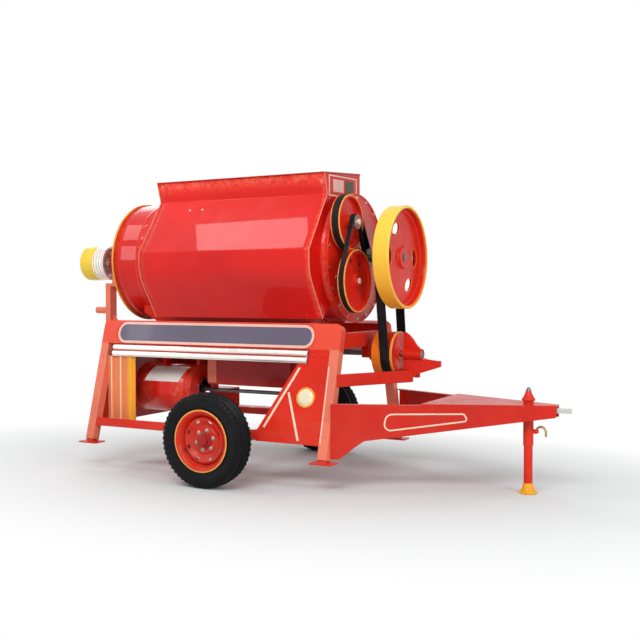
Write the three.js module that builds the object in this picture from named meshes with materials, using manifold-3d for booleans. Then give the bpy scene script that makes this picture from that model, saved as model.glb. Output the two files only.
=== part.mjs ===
// Towed threshing machine: a drum thresher on a two-wheel trailer frame.
// Millimetres, +Z up, +X towards the drawbar. Stations along X are measured from the wheel axle,
// and the whole group is then moved so that its origin is under the middle of its box.
import * as THREE from "three";
import { mergeVertices } from "three/addons/utils/BufferGeometryUtils.js";
import Module from "manifold-3d";

const wasm = await Module();
wasm.setup();

// Fits and counts
const fit = 0.3;
const overrun = 20;
const roundSides = 28;
const shaftSides = 16;
const casingSides = 40;
const arcSteps = 8;

// Wheels and axle
const tyreDiameter = 730;
const tyreWidth = 180;
const wheelTrack = 1890;
const rimDiameter = 430;
const rimLip = 22;
const rimSheet = 6;
const discSheet = 10;
const hubRadius = 58;
const hubLength = 150;
const beadWidthShare = 0.78;
const lipWidthShare = 0.8;
const shoulderWidthShare = 0.86;
const treadWidthShare = 0.66;
const shoulderRadiusShare = 0.95;
const spindleRadius = 24;
const spindleFit = 0.5;
const axleSection = 70;
const axleEndPlate = 14;

// Sloping side frames
const standHeight = 210;
const frameTop = 1255;
const beamBottom = 1055;
const footHalfWidth = 735;
const topHalfWidth = 460;
const rearLegX = -1370;
const frontLegX = 880;
const legWidth = 80;
const legWall = 5;
const legSlideFit = 1;
const sleeveBottom = 246;
const footInsertion = 430;
const footPlateLength = 190;
const footPlateWidth = 120;
const footPlateThickness = 12;
const beamSheet = 6;
const beamCorner = 50;
const railBottom = 362;
const railHeight = 68;
const railDepth = 50;
const railWall = 4;
const panelSheet = 5;
const ribPanelLength = 300;
const ribPanelLow = 400;
const ribRadius = 17;
const ribCount = 3;
const trimRear = -1262;
const trimFront = 655;
const trimBottom = 948;
const trimTop = 1048;
const trimSheet = 4;
const trimBead = 15;
const gussetTopX = 665;
const gussetKneeX = 575;
const gussetKneeZ = 943;
const gussetFootX = 285;
const gussetBottom = 345;
const farGussetBottom = 720;

// Cross members and the front support of the input shaft
const crossWidth = 70;
const crossWall = 6;
const rearCrossHeight = 120;
const closingSheetX = -1340;
const braceTop = 872;
const braceHeight = 95;
const braceThickness = 34;
const nearBraceMeetX = 1260;
const farBraceMeetX = 1310;
const farBraceHeight = 60;
const bracketRear = 1185;
const bracketThickness = 20;
const bracketOutline = [[0, -95], [54, -80], [123, -29], [318, 34], [318, 82], [293, 81], [191, 93],
  [174, 109], [157, 164], [114, 203], [88, 242], [53, 282], [19, 305], [0, 305]];
const bracketTubeRadius = 44;
const bracketPocketRadius = 38;
const bracketPocketRear = 1304;

// Drum unit
const drumZ = 1772;
const casingRadius = 510;
const hangerHalfWidth = 260;
const hangerFoot = 70;
const hangerDrop = 80;
const casingSheet = 4;
const casingRear = -1280;
const casingFront = 815;
const wallSheet = 6;
const wallLip = 10;
const throatFront = 700;
const throatRear = -800;
const throatNear = -440;
const throatFar = 140;
const trunkRear = -1080;
const trunkFront = 600;
const trunkHalfWidth = 330;
const trunkSheet = 3;
const trunkTopRise = 138;
const trunkShoulderRise = 58;
const trunkBottomZ = 965;
const fanHangerRear = 405;
const fanHangerLength = 60;
const fanHangerHalfWidth = 35;

// Feed hood: outline in the end view, near side to the left
const hoodRear = -840;
const hoodFront = 760;
const hoodSheet = 4;
const hopperNearReach = 450;
const hopperNearRise = 138;
const hopperBendReach = 400;
const hopperBendDrop = 22;
const hopperFarReach = 182;
const hopperFarRise = 188;
const shoulderBulge = 190;
const shoulderRise = 50;
const bellyBulge = 180;
const bellyDrop = 132;
const toeInset = 35;
const toeRise = 30;
const hoodBellyShare = 0.45;
const hoodBellySteps = 8;
const hoodReturnShare = 0.7;

// Threshing drum and its shafts
const mainShaftRadius = 32;
const mainShaftRear = -1970;
const mainShaftFront = 1246;
const concaveInset = 110;
const pegClearance = 38;
const drumDiscSheet = 8;
const drumDiscCount = 5;
const drumRear = -1210;
const drumFront = 740;
const barCount = 8;
const barWidth = 40;
const barThickness = 8;
const pegCount = 9;
const pegHeight = 64;
const pegSide = 16;
const concaveSheet = 6;
const concaveFacets = 13;
const concaveSlots = 7;
const concaveRows = 4;
const concaveSlotShare = 0.62;
const concaveArcSteps = 14;

// Rear bearing cone, stand and multi-groove pulley
const coneBaseRadius = 300;
const coneTipRadius = 180;
const coneTipX = -1560;
const coneNoseX = -1695;
const coneNoseRadius = 80;
const rearStandX = -1740;
const rearPostTop = 1582;
const pedestalRear = -1688;
const pedestalFront = -1632;
const standGusset = 65;
const standWidth = 56;
const standDepth = 90;
const shelfHeight = 80;
const standRodX = -1905;
const standRodZ = 1330;
const standRodRadius = 32;
const rearPulleyRadius = 160;
const rearPulleyRear = -1980;
const rearPulleyBand = 150;
const rearPulleyFront = -1702;
const rearGrooves = 4;
const grooveDepth = 14;
const grooveShares = [0.38, 0.62, 0.92, 1.08];
const rearPulleyRim = 8;

// Front drive: flywheel, pulleys and belts
const flywheelRadius = 406;
const flywheelRear = 1145;
const flywheelWidth = 130;
const flywheelRim = 44;
const flywheelWeb = 16;
const flywheelHub = 85;
const flywheelHubReach = 30;
const flywheelHoleAngles = [0, 120, 180, 300];
const flywheelHoleRadius = 250;
const flywheelHoleLength = 150;
const flywheelHoleWidth = 96;
const beltThickness = 12;
const beltArcSteps = 12;
const flywheelSides = 48;
const flywheelHoleSteps = 5;
const flangeHeight = 8;
const pulleyWeb = 12;
const pulleyRim = 16;
const pulleyHub = 55;
const drivePulleyRadius = 190;
const driveBeltX = 1095;
const driveBeltWidth = 80;
const inputPulleyRadius = 180;
const inputY = 120;
const inputZ = 1000;
const inputShaftRadius = 22;
const inputShaftFront = 1346;
const inputShaftRear = 470;
const inputStubLength = 38;
const inputStubRadius = 30;
const yellowPulleyWidth = 62;
const yellowPulleyRadius = 196;
const feedY = -330;
const feedDrop = 242;
const feedShaftRadius = 18;
const feedPulleyRadius = 212;
const feedBeltX = 898;
const feedBeltWidth = 56;
const feedPegRadius = 52;
const feedPegCount = 8;
const mainSmallRadius = 75;
const counterY = -330;
const counterDrop = 188;
const counterShaftRadius = 20;
const counterPulleyRadius = 243;
const counterBeltX = 965;
const counterBeltWidth = 40;
const feedSmallRadius = 58;
const bearingRadius = 70;
const bearingLength = 28;

// Cleaning unit
const fanX = -850;
const fanY = -190;
const fanZ = 662;
const fanHousingRadius = 205;
const fanHousingHalfLength = 300;
const fanSheet = 3;
const fanShaftRadius = 16;
const fanShaftRear = -1215;
const fanEyeRadius = 95;
const fanOutletHeight = 170;
const fanOutletReach = 560;
const fanGuardReach = 220;
const fanGuardTop = 950;
const fanPaddleRadius = 175;
const fanPaddleCount = 5;
const fanPaddleSheet = 4;
const strapInset = 20;
const strapSpacing = 360;
const strapDepth = 30;
const strapHalfWidth = 40;
const fanPulleyRadius = 80;
const fanDriveX = 520;
const fanDriveWidth = 40;
const fanDriverRadius = 110;
const sieveRear = -430;
const sieveFront = 372;
const sieveHalfWidth = 300;
const sieveBottom = 720;
const sieveTop = 955;
const sieveSheet = 5;
const sieveSlots = 9;
const sieveStroke = 20;
const ledgeWidth = 40;
const ledgeThickness = 8;
const strawRear = -1150;
const strawFront = -850;
const strawTopDrop = 12;
const strawBottomDrop = 292;
const strawLength = 190;
const strawDrop = 90;

// Drawbar
const tongueTop = 670;
const tongueSeatZ = 495;
const tongueTipX = 2455;
const tongueTipY = 46;
const tongueSheet = 10;
const tongueFlange = 46;
const tongueRearDepths = [424, 386, 326, 284];
const tongueRearSteps = [58, 108, 178, 236];
const tongueTipDepth = 90;
const topPlateLength = 915;
const hitchLap = 125;
const hitchReach = 103;
const hitchWidth = 60;
const hitchThickness = 38;
const hitchHole = 17;
const hitchRelief = 3;
const jackSetback = 217;
const jackSleeveRadius = 38;
const jackWall = 5;
const jackSleeveBottom = 360;
const jackCollarTop = 706;
const jackCapRadius = 50;
const jackCapBottom = 694;
const jackConeTop = 792;
const jackFootRadius = 68;
const jackFootThickness = 12;
const jackLegTop = 425;
const latchZ = 465;
const latchArch = 36;
const latchDrop = 35;
const latchRadius = 11;
const latchBar = 18;
const latchPivotReach = 60;
const latchThickness = 12;
const latchPin = 5;

// Worked out once from the sizes above
const slope = Math.atan((footHalfWidth - topHalfWidth) / (frameTop - standHeight));
const cosSlope = Math.cos(slope);
const tanSlope = Math.tan(slope);
const faceAt = (z) => footHalfWidth - (z - standHeight) * tanSlope;
const climb = (z) => (z - standHeight) / cosSlope;
const wheelRadius = tyreDiameter / 2;
const casingTop = drumZ + casingRadius;
const casingBottom = drumZ - casingRadius;
const trunkTopZ = casingBottom + trunkTopRise;
const trunkShoulderZ = casingBottom + trunkShoulderRise;
const hopperNearTop = [-hopperNearReach, casingTop + hopperNearRise];
const hopperNearBend = [-hopperBendReach, casingTop - hopperBendDrop];
const hopperFarTop = [hopperFarReach, casingTop + hopperFarRise];
const hoodShoulder = [-casingRadius - shoulderBulge, drumZ + shoulderRise];
const hoodBelly = [-casingRadius - bellyBulge, drumZ - bellyDrop];
const hoodToe = [-casingRadius + toeInset, casingBottom + toeRise];
const concaveRadius = casingRadius - concaveInset;
const drumDiscRadius = concaveRadius - pegClearance - pegHeight - barThickness;
const feedZ = casingTop - feedDrop;
const counterZ = drumZ - counterDrop;
const strawTopZ = drumZ - strawTopDrop;
const strawBottomZ = drumZ - strawBottomDrop;
const strawReach = casingRadius + strawLength;
const tongueRearY = faceAt(tongueSeatZ);
const topPlateRear = tongueTipX - topPlateLength;
const hitchRear = tongueTipX - hitchLap;
const hitchTip = tongueTipX + hitchReach;
const jackX = tongueTipX - jackSetback;
const jackLegRadius = jackSleeveRadius - jackWall - fit;
const latchPivotX = jackX + latchPivotReach;
const crossTop = frameTop - legWidth * Math.sin(slope) - beamSheet - 2 * fit;
const rearCrossX = rearLegX - legWidth / 2 + beamCorner;
const frontCrossX = frontLegX + legWidth / 2 - beamSheet - 2 * fit - crossWidth;

// Paint and metals
function finish(color, roughness, metalness) {
  return new THREE.MeshStandardMaterial({ color, roughness, metalness });
}
const paints = {
  red: () => finish(0xd5221f, 0.35, 0.1),
  deepRed: () => finish(0xa51a1a, 0.45, 0.1),
  yellow: () => finish(0xf2b81f, 0.4, 0.1),
  steel: () => finish(0xb9bcc0, 0.35, 0.9),
  darkSteel: () => finish(0x4a4c50, 0.5, 0.8),
  rubber: () => finish(0x17171a, 0.8, 0),
  polished: () => finish(0xe4e6ea, 0.18, 0.95),
};

// Closed meshes, joined and cut as solids
function bare(geometry) {
  const plain = geometry.index ? geometry.clone() : mergeVertices(geometry);
  plain.deleteAttribute("normal");
  plain.deleteAttribute("uv");
  const merged = mergeVertices(plain, fit / 100);
  const index = Array.from(merged.index.array);
  const kept = [];
  for (let i = 0; i < index.length; i += 3) {
    const [a, b, c] = index.slice(i, i + 3);
    if (a !== b && b !== c && c !== a) {
      kept.push(a, b, c);
    }
  }
  merged.setIndex(kept);
  return merged;
}

// Faces of a closed body turned outwards
function outward(geometry) {
  const body = bare(geometry);
  const position = body.attributes.position;
  const index = body.index.array;
  const corner = [0, 1, 2].map(() => new THREE.Vector3());
  let volume = 0;
  for (let i = 0; i < index.length; i += 3) {
    corner.forEach((point, k) => point.fromBufferAttribute(position, index[i + k]));
    volume += corner[0].dot(corner[1].clone().cross(corner[2]));
  }
  if (volume < 0) {
    for (let i = 0; i < index.length; i += 3) {
      [index[i], index[i + 1]] = [index[i + 1], index[i]];
    }
  }
  return body;
}

function solidOf(geometry) {
  const plain = bare(geometry);
  return new wasm.Manifold(new wasm.Mesh({
    numProp: 3,
    vertProperties: new Float32Array(plain.attributes.position.array),
    triVerts: new Uint32Array(plain.index.array),
  }));
}

function geometryOf(solid) {
  const mesh = solid.getMesh();
  const geometry = new THREE.BufferGeometry();
  geometry.setAttribute("position", new THREE.BufferAttribute(new Float32Array(mesh.vertProperties), 3));
  geometry.setIndex(new THREE.BufferAttribute(new Uint32Array(mesh.triVerts), 1));
  geometry.computeVertexNormals();
  return geometry;
}

function join(first, ...rest) {
  return geometryOf(rest.reduce((sum, next) => sum.add(solidOf(next)), solidOf(first)));
}

function cut(first, ...rest) {
  return geometryOf(rest.reduce((sum, next) => sum.subtract(solidOf(next)), solidOf(first)));
}

// Basic shapes, placed by their limits or their middle
function block(x0, x1, y0, y1, z0, z1) {
  const geometry = new THREE.BoxGeometry(x1 - x0, y1 - y0, z1 - z0);
  return geometry.translate((x0 + x1) / 2, (y0 + y1) / 2, (z0 + z1) / 2);
}

function outline(points) {
  return new THREE.Shape(points.map(([x, y]) => new THREE.Vector2(x, y)));
}

function slab(shape, thickness, curveSegments = arcSteps) {
  return new THREE.ExtrudeGeometry(shape, { depth: thickness, bevelEnabled: false, curveSegments });
}

// An outline drawn in the end view (Y to the right, Z up), running from x0 to x1
function alongX(shape, x0, x1, curveSegments = arcSteps) {
  const geometry = slab(shape, x1 - x0, curveSegments);
  geometry.rotateX(Math.PI / 2);
  geometry.rotateZ(Math.PI / 2);
  return geometry.translate(x0, 0, 0);
}

// An outline drawn in the side view (X to the right, Z up), running from y0 to y1
function alongY(shape, y0, y1) {
  const geometry = slab(shape, y1 - y0);
  geometry.rotateX(Math.PI / 2);
  return geometry.translate(0, y1, 0);
}

function rodX(radius, x0, x1, y, z, sides = shaftSides) {
  const geometry = new THREE.CylinderGeometry(radius, radius, x1 - x0, sides);
  geometry.rotateZ(-Math.PI / 2);
  return geometry.translate((x0 + x1) / 2, y, z);
}

function rodZ(radius, z0, z1, x, y, sides = shaftSides) {
  const geometry = new THREE.CylinderGeometry(radius, radius, z1 - z0, sides);
  geometry.rotateX(Math.PI / 2);
  return geometry.translate(x, y, (z0 + z1) / 2);
}

// A turned body about the X axis through (y, z): profile of [radius, x] pairs that closes on itself
function turnedX(profile, y, z, sides = roundSides) {
  const points = [...profile, profile[0]].map(([radius, x]) => new THREE.Vector2(radius, x));
  const geometry = outward(new THREE.LatheGeometry(points, sides));
  geometry.rotateZ(-Math.PI / 2);
  return geometry.translate(0, y, z);
}

// A turned body about a wheel's own Y axis
function turnedY(profile, sides = roundSides) {
  const points = [...profile, profile[0]].map(([radius, y]) => new THREE.Vector2(radius, y));
  return outward(new THREE.LatheGeometry(points, sides));
}

function flipped(geometry, axis) {
  const copy = bare(geometry);
  const scale = new THREE.Vector3(1, 1, 1);
  scale[axis] = -1;
  copy.scale(scale.x, scale.y, scale.z);
  const index = copy.index.array;
  for (let i = 0; i < index.length; i += 3) {
    [index[i], index[i + 1]] = [index[i + 1], index[i]];
  }
  return copy;
}

// Parts are kept by name in the group that carries them
const thresher = new THREE.Group();
function part(group, name, geometry, material) {
  const mesh = new THREE.Mesh(geometry, material);
  mesh.name = name;
  group.add(mesh);
  return mesh;
}

// The two side frames are drawn flat, X along the machine and Y up the slope, with the outer face at
// zero and the inside at minus; each side's group then leans them inwards.
const sides = ["near", "far"];
const sideGroups = {};
for (const side of sides) {
  const group = new THREE.Group();
  const near = side === "near";
  group.position.set(0, near ? -footHalfWidth : footHalfWidth, standHeight);
  group.rotation.x = near ? Math.PI / 2 - slope : Math.PI / 2 + slope;
  thresher.add(group);
  sideGroups[side] = group;
}
function sidePart(side, name, geometry, material) {
  part(sideGroups[side], `${side}_${name}`, side === "near" ? geometry : flipped(geometry, "z"), material);
}

function sideFrames() {
  const rearOuter = rearLegX - legWidth / 2;
  const frontOuter = frontLegX + legWidth / 2;
  const rearInner = rearLegX + legWidth / 2 + fit;
  const frontInner = frontLegX - legWidth / 2 - fit;
  for (const side of sides) {
    sidePart(side, "side_beam", beamTray(rearOuter, frontOuter), paints.red());
    sidePart(side, "rear_leg", legSleeve(rearLegX), paints.red());
    sidePart(side, "front_leg", legSleeve(frontLegX), paints.red());
    sidePart(side, "bottom_rail", bottomRail(rearInner, frontInner), paints.red());
    const corner = side === "near" ? gussetPlate(frontInner) : cornerPlate(frontInner);
    sidePart(side, "gusset_plate", corner, paints.red());
    sidePart(side, "trim_strip", trimStrip(), paints.polished());
  }
}

// Square tube between the feet of the legs
function bottomRail(x0, x1) {
  const low = climb(railBottom);
  const high = low + railHeight;
  const outer = -panelSheet - 2 * fit;
  const inner = outer - railDepth;
  const rail = block(x0, x1, low, high, inner, outer);
  const bore = block(x0 - overrun, x1 + overrun, low + railWall, high - railWall,
    inner + railWall, outer - railWall);
  return cut(rail, bore);
}

// Deep top beam: a pressed tray, open to the inside, with rounded upper corners
function beamTray(x0, x1) {
  const low = climb(beamBottom);
  const high = climb(frameTop);
  const roundedPanel = (inset) => {
    const corner = beamCorner - inset;
    const shape = new THREE.Shape();
    shape.moveTo(x0 + inset, low + inset);
    shape.lineTo(x1 - inset, low + inset);
    shape.lineTo(x1 - inset, high - inset - corner);
    shape.absarc(x1 - inset - corner, high - inset - corner, corner, 0, Math.PI / 2);
    shape.lineTo(x0 + inset + corner, high - inset);
    shape.absarc(x0 + inset + corner, high - inset - corner, corner, Math.PI / 2, Math.PI);
    shape.closePath();
    return shape;
  };
  const outer = slab(roundedPanel(0), legWidth).translate(0, 0, -legWidth);
  const pocket = slab(roundedPanel(beamSheet), legWidth).translate(0, 0, -legWidth - beamSheet);
  return cut(outer, pocket);
}

// Square leg tube under the beam; the foot slides up inside it
function legSleeve(x) {
  const half = legWidth / 2;
  const bore = half - legWall;
  const tube = block(x - half, x + half, climb(sleeveBottom), climb(beamBottom) - fit, -legWidth, 0);
  const inside = block(x - bore, x + bore, climb(sleeveBottom) - overrun,
    climb(beamBottom) - legWall, -half - bore, -half + bore);
  return cut(tube, inside);
}

// Upright panel with vertical ribs; its top edge lies under the trim strip and its rear edge at the leg
function ribPanel(x0) {
  const crest = faceAt(trimBottom) - fit;
  const shape = new THREE.Shape();
  shape.moveTo(x0, -panelSheet);
  shape.lineTo(x0 + ribPanelLength, -panelSheet);
  shape.lineTo(x0 + ribPanelLength, 0);
  const pitch = ribPanelLength / ribCount;
  for (let rib = ribCount - 1; rib >= 0; rib -= 1) {
    const middle = x0 + pitch * (rib + 1 / 2);
    shape.lineTo(middle + ribRadius, 0);
    shape.absarc(middle, 0, ribRadius, 0, Math.PI);
  }
  shape.lineTo(x0, 0);
  shape.closePath();
  const high = trimBottom - trimSheet * Math.sin(slope) - fit;
  const panel = slab(shape, high - ribPanelLow, arcSteps / 2);
  return panel.translate(0, crest - ribRadius, ribPanelLow);
}

function ribPanels() {
  const farPanel = ribPanel(rearLegX + legWidth / 2 + fit);
  part(thresher, "near_rib_panel", flipped(farPanel, "y"), paints.red());
  part(thresher, "far_rib_panel", farPanel, paints.red());
}

function gussetPlate(x1) {
  const shape = outline([
    [x1, climb(gussetBottom)],
    [x1, climb(beamBottom) - fit],
    [gussetTopX, climb(beamBottom) - fit],
    [gussetTopX, climb(gussetKneeZ)],
    [gussetKneeX, climb(gussetKneeZ)],
    [gussetFootX, climb(railBottom) + railHeight],
    [gussetFootX, climb(gussetBottom)],
  ]);
  return slab(shape, panelSheet).translate(0, 0, -panelSheet - fit);
}

// Small plate in the corner of the far front leg, where the near side has the large one
function cornerPlate(x1) {
  const top = climb(beamBottom) - fit;
  const shape = outline([[x1, climb(farGussetBottom)], [x1, top], [gussetTopX, top],
    [gussetTopX, climb(gussetKneeZ)]]);
  return slab(shape, panelSheet).translate(0, 0, -panelSheet - fit);
}

// Polished strip with two rounded beads, hung under the beam
function trimStrip() {
  const low = climb(trimBottom);
  const high = climb(trimTop);
  const quarter = (high - low) / 4;
  const shape = new THREE.Shape();
  shape.moveTo(-trimSheet, low);
  shape.lineTo(0, low);
  for (const middle of [low + quarter, high - quarter]) {
    shape.lineTo(0, middle - trimBead);
    shape.absarc(0, middle, trimBead, -Math.PI / 2, Math.PI / 2);
  }
  shape.lineTo(0, high);
  shape.lineTo(-trimSheet, climb(beamBottom) - fit);
  shape.closePath();
  const strip = slab(shape, trimFront - trimRear, arcSteps / 2);
  strip.rotateY(-Math.PI / 2);
  return strip.translate(trimFront, 0, 0);
}

// Adjustable foot: a square bar in the leg with a level plate welded to its lower end
function foot(x) {
  const half = legWidth / 2;
  const bar = half - legWall - legSlideFit;
  const tilt = slope - Math.PI / 2;
  const middleV = (footPlateThickness / 2 + half * Math.sin(slope)) / cosSlope;
  const level = (length, width, thickness, drop) => {
    const geometry = new THREE.BoxGeometry(length, width, thickness);
    geometry.translate(0, 0, drop).rotateX(tilt);
    return geometry.translate(x, middleV, -half);
  };
  const upright = block(x - bar, x + bar, middleV - overrun, climb(sleeveBottom) + footInsertion,
    -half - bar, -half + bar);
  const plate = level(footPlateLength, footPlateWidth, footPlateThickness, 0);
  const below = level(footPlateLength, footPlateWidth, legWidth, -(footPlateThickness + legWidth) / 2);
  const inside = bar - legWall;
  const barTop = climb(sleeveBottom) + footInsertion;
  const hollow = block(x - inside, x + inside, middleV + half, barTop + overrun,
    -half - inside, -half + inside);
  return cut(join(upright, plate), below, hollow);
}

function feet() {
  for (const side of sides) {
    sidePart(side, "rear_foot", foot(rearLegX), paints.red());
    sidePart(side, "front_foot", foot(frontLegX), paints.red());
  }
}

// Hollow cross member between the webs of the two side beams, its ends cut to their slope
function crossMember(x0, z0, z1) {
  const reach = (z) => faceAt(z) - beamSheet / cosSlope - 2 * fit;
  const shape = outline([[-reach(z0), z0], [reach(z0), z0], [reach(z1), z1], [-reach(z1), z1]]);
  const bar = alongX(shape, x0, x0 + crossWidth);
  const bore = block(x0 + crossWall, x0 + crossWidth - crossWall, -footHalfWidth, footHalfWidth,
    z0 + crossWall, z1 - crossWall);
  return cut(bar, bore);
}

// Sheet between the rear legs that closes the frame below the rear cross member
function closingSheet() {
  const reach = (z) => faceAt(z) - legWidth / cosSlope - 2 * fit;
  const high = crossTop - rearCrossHeight + crossWall / 2;
  const shape = outline([[-reach(railBottom), railBottom], [reach(railBottom), railBottom],
    [reach(high), high], [-reach(high), high]]);
  return alongX(shape, closingSheetX, closingSheetX + panelSheet);
}

function crossMembers() {
  const bottom = beamBottom + beamSheet + 2 * fit;
  const rear = crossMember(rearCrossX, crossTop - rearCrossHeight, crossTop);
  part(thresher, "rear_top_cross", join(rear, closingSheet()), paints.red());
  const frontX = frontCrossX;
  const bearing = block(frontX, frontX + crossWidth, inputY - bearingRadius, inputY + bearingRadius,
    inputZ - bearingRadius / 2, bottom + crossWall);
  const bore = rodX(boreFor(inputShaftRadius), frontX - overrun, frontX + crossWidth + overrun,
    inputY, inputZ);
  const front = crossMember(frontX, bottom, crossTop - beamCorner);
  part(thresher, "front_top_cross", cut(join(front, bearing), bore), paints.red());
}

// A hole that a shaft clears at every angle, though both have flat sides
function boreFor(radius, count = shaftSides) {
  return (radius + fit) / Math.cos(Math.PI / count);
}

// Axle: beam under the rails, and end plates that carry the spindles
function axleBeam() {
  const railInside = railDepth + panelSheet + 2 * fit;
  const top = railBottom - railInside * Math.sin(slope) - fit;
  const wheelInside = wheelTrack / 2 - tyreWidth / 2;
  const plateY = wheelInside - 2 * axleSection / 3;
  const half = axleSection / 2;
  const beam = block(-half, half, -plateY, plateY, top - axleSection, top);
  const pieces = [];
  for (const s of [-1, 1]) {
    const inner = Math.min(s * plateY, s * (plateY + axleEndPlate));
    pieces.push(block(-half - axleEndPlate, half + axleEndPlate, inner, inner + axleEndPlate,
      top - axleSection, wheelRadius + half));
    const spindle = rodX(spindleRadius, 0, wheelTrack / 2 + hubLength / 2 - plateY, 0, 0);
    spindle.rotateZ(s * Math.PI / 2);
    pieces.push(spindle.translate(0, s * plateY, wheelRadius));
  }
  return join(beam, ...pieces);
}

// Wheel with its outer side at minus Y
function tyreBody() {
  const bead = rimDiameter / 2 + fit;
  const half = tyreWidth / 2;
  const outerSide = [[bead, half * beadWidthShare], [bead + rimLip + rimSheet, half * lipWidthShare],
    [(bead + wheelRadius) / 2, half], [wheelRadius * shoulderRadiusShare, half * shoulderWidthShare],
    [wheelRadius, half * treadWidthShare]];
  return turnedY([...outerSide.map(([radius, y]) => [radius, -y]), ...outerSide.reverse()]);
}

function rimBody() {
  const seat = rimDiameter / 2;
  const inside = seat - rimSheet;
  const edge = tyreWidth / 2 * lipWidthShare + fit;
  const lip = seat + rimLip;
  const hubOut = hubLength / 2;
  const bore = boreFor(spindleRadius + spindleFit, roundSides);
  const disc = -tyreWidth / 6;
  return turnedY([
    [bore, -hubOut], [hubRadius, -hubOut], [hubRadius, disc - discSheet], [inside, disc - discSheet],
    [inside, -edge - rimSheet], [lip, -edge - rimSheet], [lip, -edge], [seat, -edge],
    [seat, edge], [lip, edge], [lip, edge + rimSheet], [inside, edge + rimSheet],
    [inside, disc], [hubRadius, disc], [hubRadius, hubOut], [bore, hubOut],
  ]);
}

function wheels() {
  for (const side of sides) {
    const wheel = new THREE.Group();
    wheel.position.set(0, side === "near" ? -wheelTrack / 2 : wheelTrack / 2, wheelRadius);
    wheel.rotation.z = side === "near" ? 0 : Math.PI;
    thresher.add(wheel);
    part(wheel, `${side}_tyre`, tyreBody(), paints.rubber());
    part(wheel, `${side}_rim`, rimBody(), paints.red());
  }
}

const casingTube = (radius, x0, x1) => rodX(radius, x0, x1, 0, drumZ, casingSides);

// Drum casing: a tube along the machine with a feed throat, a grain outlet and a straw outlet
function drumCasing() {
  const inner = casingRadius - casingSheet;
  const shell = turnedX([[inner, casingRear], [casingRadius, casingRear], [casingRadius, casingFront],
    [inner, casingFront]], 0, drumZ, casingSides);
  const throat = block(throatRear, throatFront, throatNear, throatFar, drumZ, drumZ + 2 * casingRadius);
  const grain = block(trunkRear + trunkSheet, trunkFront - trunkSheet, -trunkHalfWidth, trunkHalfWidth,
    drumZ - 2 * casingRadius, drumZ - casingRadius / 2);
  const straw = block(strawRear, strawFront, casingRadius / 2, 2 * casingRadius, strawBottomZ, strawTopZ);
  return cut(shell, throat, grain, straw);
}

function rearWall() {
  const face = casingRear - fit;
  const back = face - wallSheet;
  const bore = boreFor(mainShaftRadius, casingSides);
  const step = coneTipRadius / 4;
  const cone = turnedX([
    [bore, coneNoseX], [coneNoseRadius, coneNoseX], [coneTipRadius - step, coneNoseX + step],
    [coneTipRadius, coneTipX], [coneBaseRadius, back], [casingRadius + wallLip, back],
    [casingRadius + wallLip, face], [coneBaseRadius - wallSheet, face],
    [coneTipRadius - wallSheet, coneTipX + wallSheet], [coneNoseRadius, coneNoseX + step],
    [bore, coneNoseX + step],
  ], 0, drumZ, casingSides);
  const feedBore = rodX(boreFor(feedShaftRadius), back - overrun, face + overrun, feedY, feedZ);
  const hanger = block(rearCrossX + crossWidth + fit, face, -hangerHalfWidth, hangerHalfWidth,
    crossTop - hangerDrop, casingBottom + 2 * wallLip);
  return cut(join(cone, hanger), feedBore);
}

// Front end wall: it stands on the front cross member and carries the bearings of three shafts
function frontWall() {
  const face = casingFront + fit;
  const front = face + wallSheet;
  const disc = casingTube(casingRadius + wallLip, face, front);
  const low = crossTop - beamCorner - hangerDrop;
  const hanger = block(face, front, -hangerHalfWidth, hangerHalfWidth, low, casingBottom + hangerDrop);
  const feet = [-hangerHalfWidth, hangerHalfWidth - hangerFoot].map((y) => (
    block(face, frontCrossX - fit, y, y + hangerFoot, low, crossTop - beamCorner)));
  const places = [[mainShaftRadius, 0, drumZ], [feedShaftRadius, feedY, feedZ],
    [counterShaftRadius, counterY, counterZ]];
  const bearings = places.map(([, y, z]) => (
    rodX(bearingRadius, face, front + bearingLength, y, z, roundSides)));
  const bores = places.map(([radius, y, z]) => rodX(boreFor(radius), face - overrun,
    front + bearingLength + overrun, y, z));
  return cut(join(disc, hanger, ...feet, ...bearings), ...bores);
}

// Points of an outline moved inwards by a sheet's thickness
function inset(points, thickness) {
  const count = points.length;
  const area = points.reduce((sum, [x, y], i) => {
    const [nx, ny] = points[(i + 1) % count];
    return sum + x * ny - nx * y;
  }, 0);
  const turn = Math.sign(area);
  const edgeNormal = ([ax, ay], [bx, by]) => {
    const length = Math.hypot(bx - ax, by - ay);
    return [-turn * (by - ay) / length, turn * (bx - ax) / length];
  };
  return points.map((point, i) => {
    const before = edgeNormal(points[(i + count - 1) % count], point);
    const after = edgeNormal(point, points[(i + 1) % count]);
    const scale = thickness / (1 + before[0] * after[0] + before[1] * after[1]);
    return [point[0] + (before[0] + after[0]) * scale, point[1] + (before[1] + after[1]) * scale];
  });
}

// Feed hood: hopper mouth on top, a sloping front down to the shoulder, and a belly that curves under
function feedHood() {
  const belly = new THREE.CubicBezierCurve(
    new THREE.Vector2(...hoodShoulder),
    new THREE.Vector2(hoodShoulder[0], hoodShoulder[1] + (hoodToe[1] - hoodShoulder[1]) * hoodBellyShare),
    new THREE.Vector2(hoodBelly[0], hoodBelly[1]),
    new THREE.Vector2(...hoodToe),
  ).getPoints(hoodBellySteps).map((point) => [point.x, point.y]);
  const lowInside = [-trunkHalfWidth - 3 * trunkSheet, drumZ - casingRadius * hoodReturnShare];
  const ring = [hopperNearTop, hopperNearBend, ...belly, lowInside, [hopperFarTop[0], drumZ], hopperFarTop];
  const hollow = inset(ring, hoodSheet);
  hollow[0][1] += overrun;
  hollow[hollow.length - 1][1] += overrun;
  const outer = alongX(outline(ring), hoodRear, hoodFront);
  const space = alongX(outline(hollow), hoodRear + hoodSheet, hoodFront - hoodSheet);
  return cut(outer, space, casingTube(casingRadius + fit, casingRear, casingFront));
}

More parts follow.
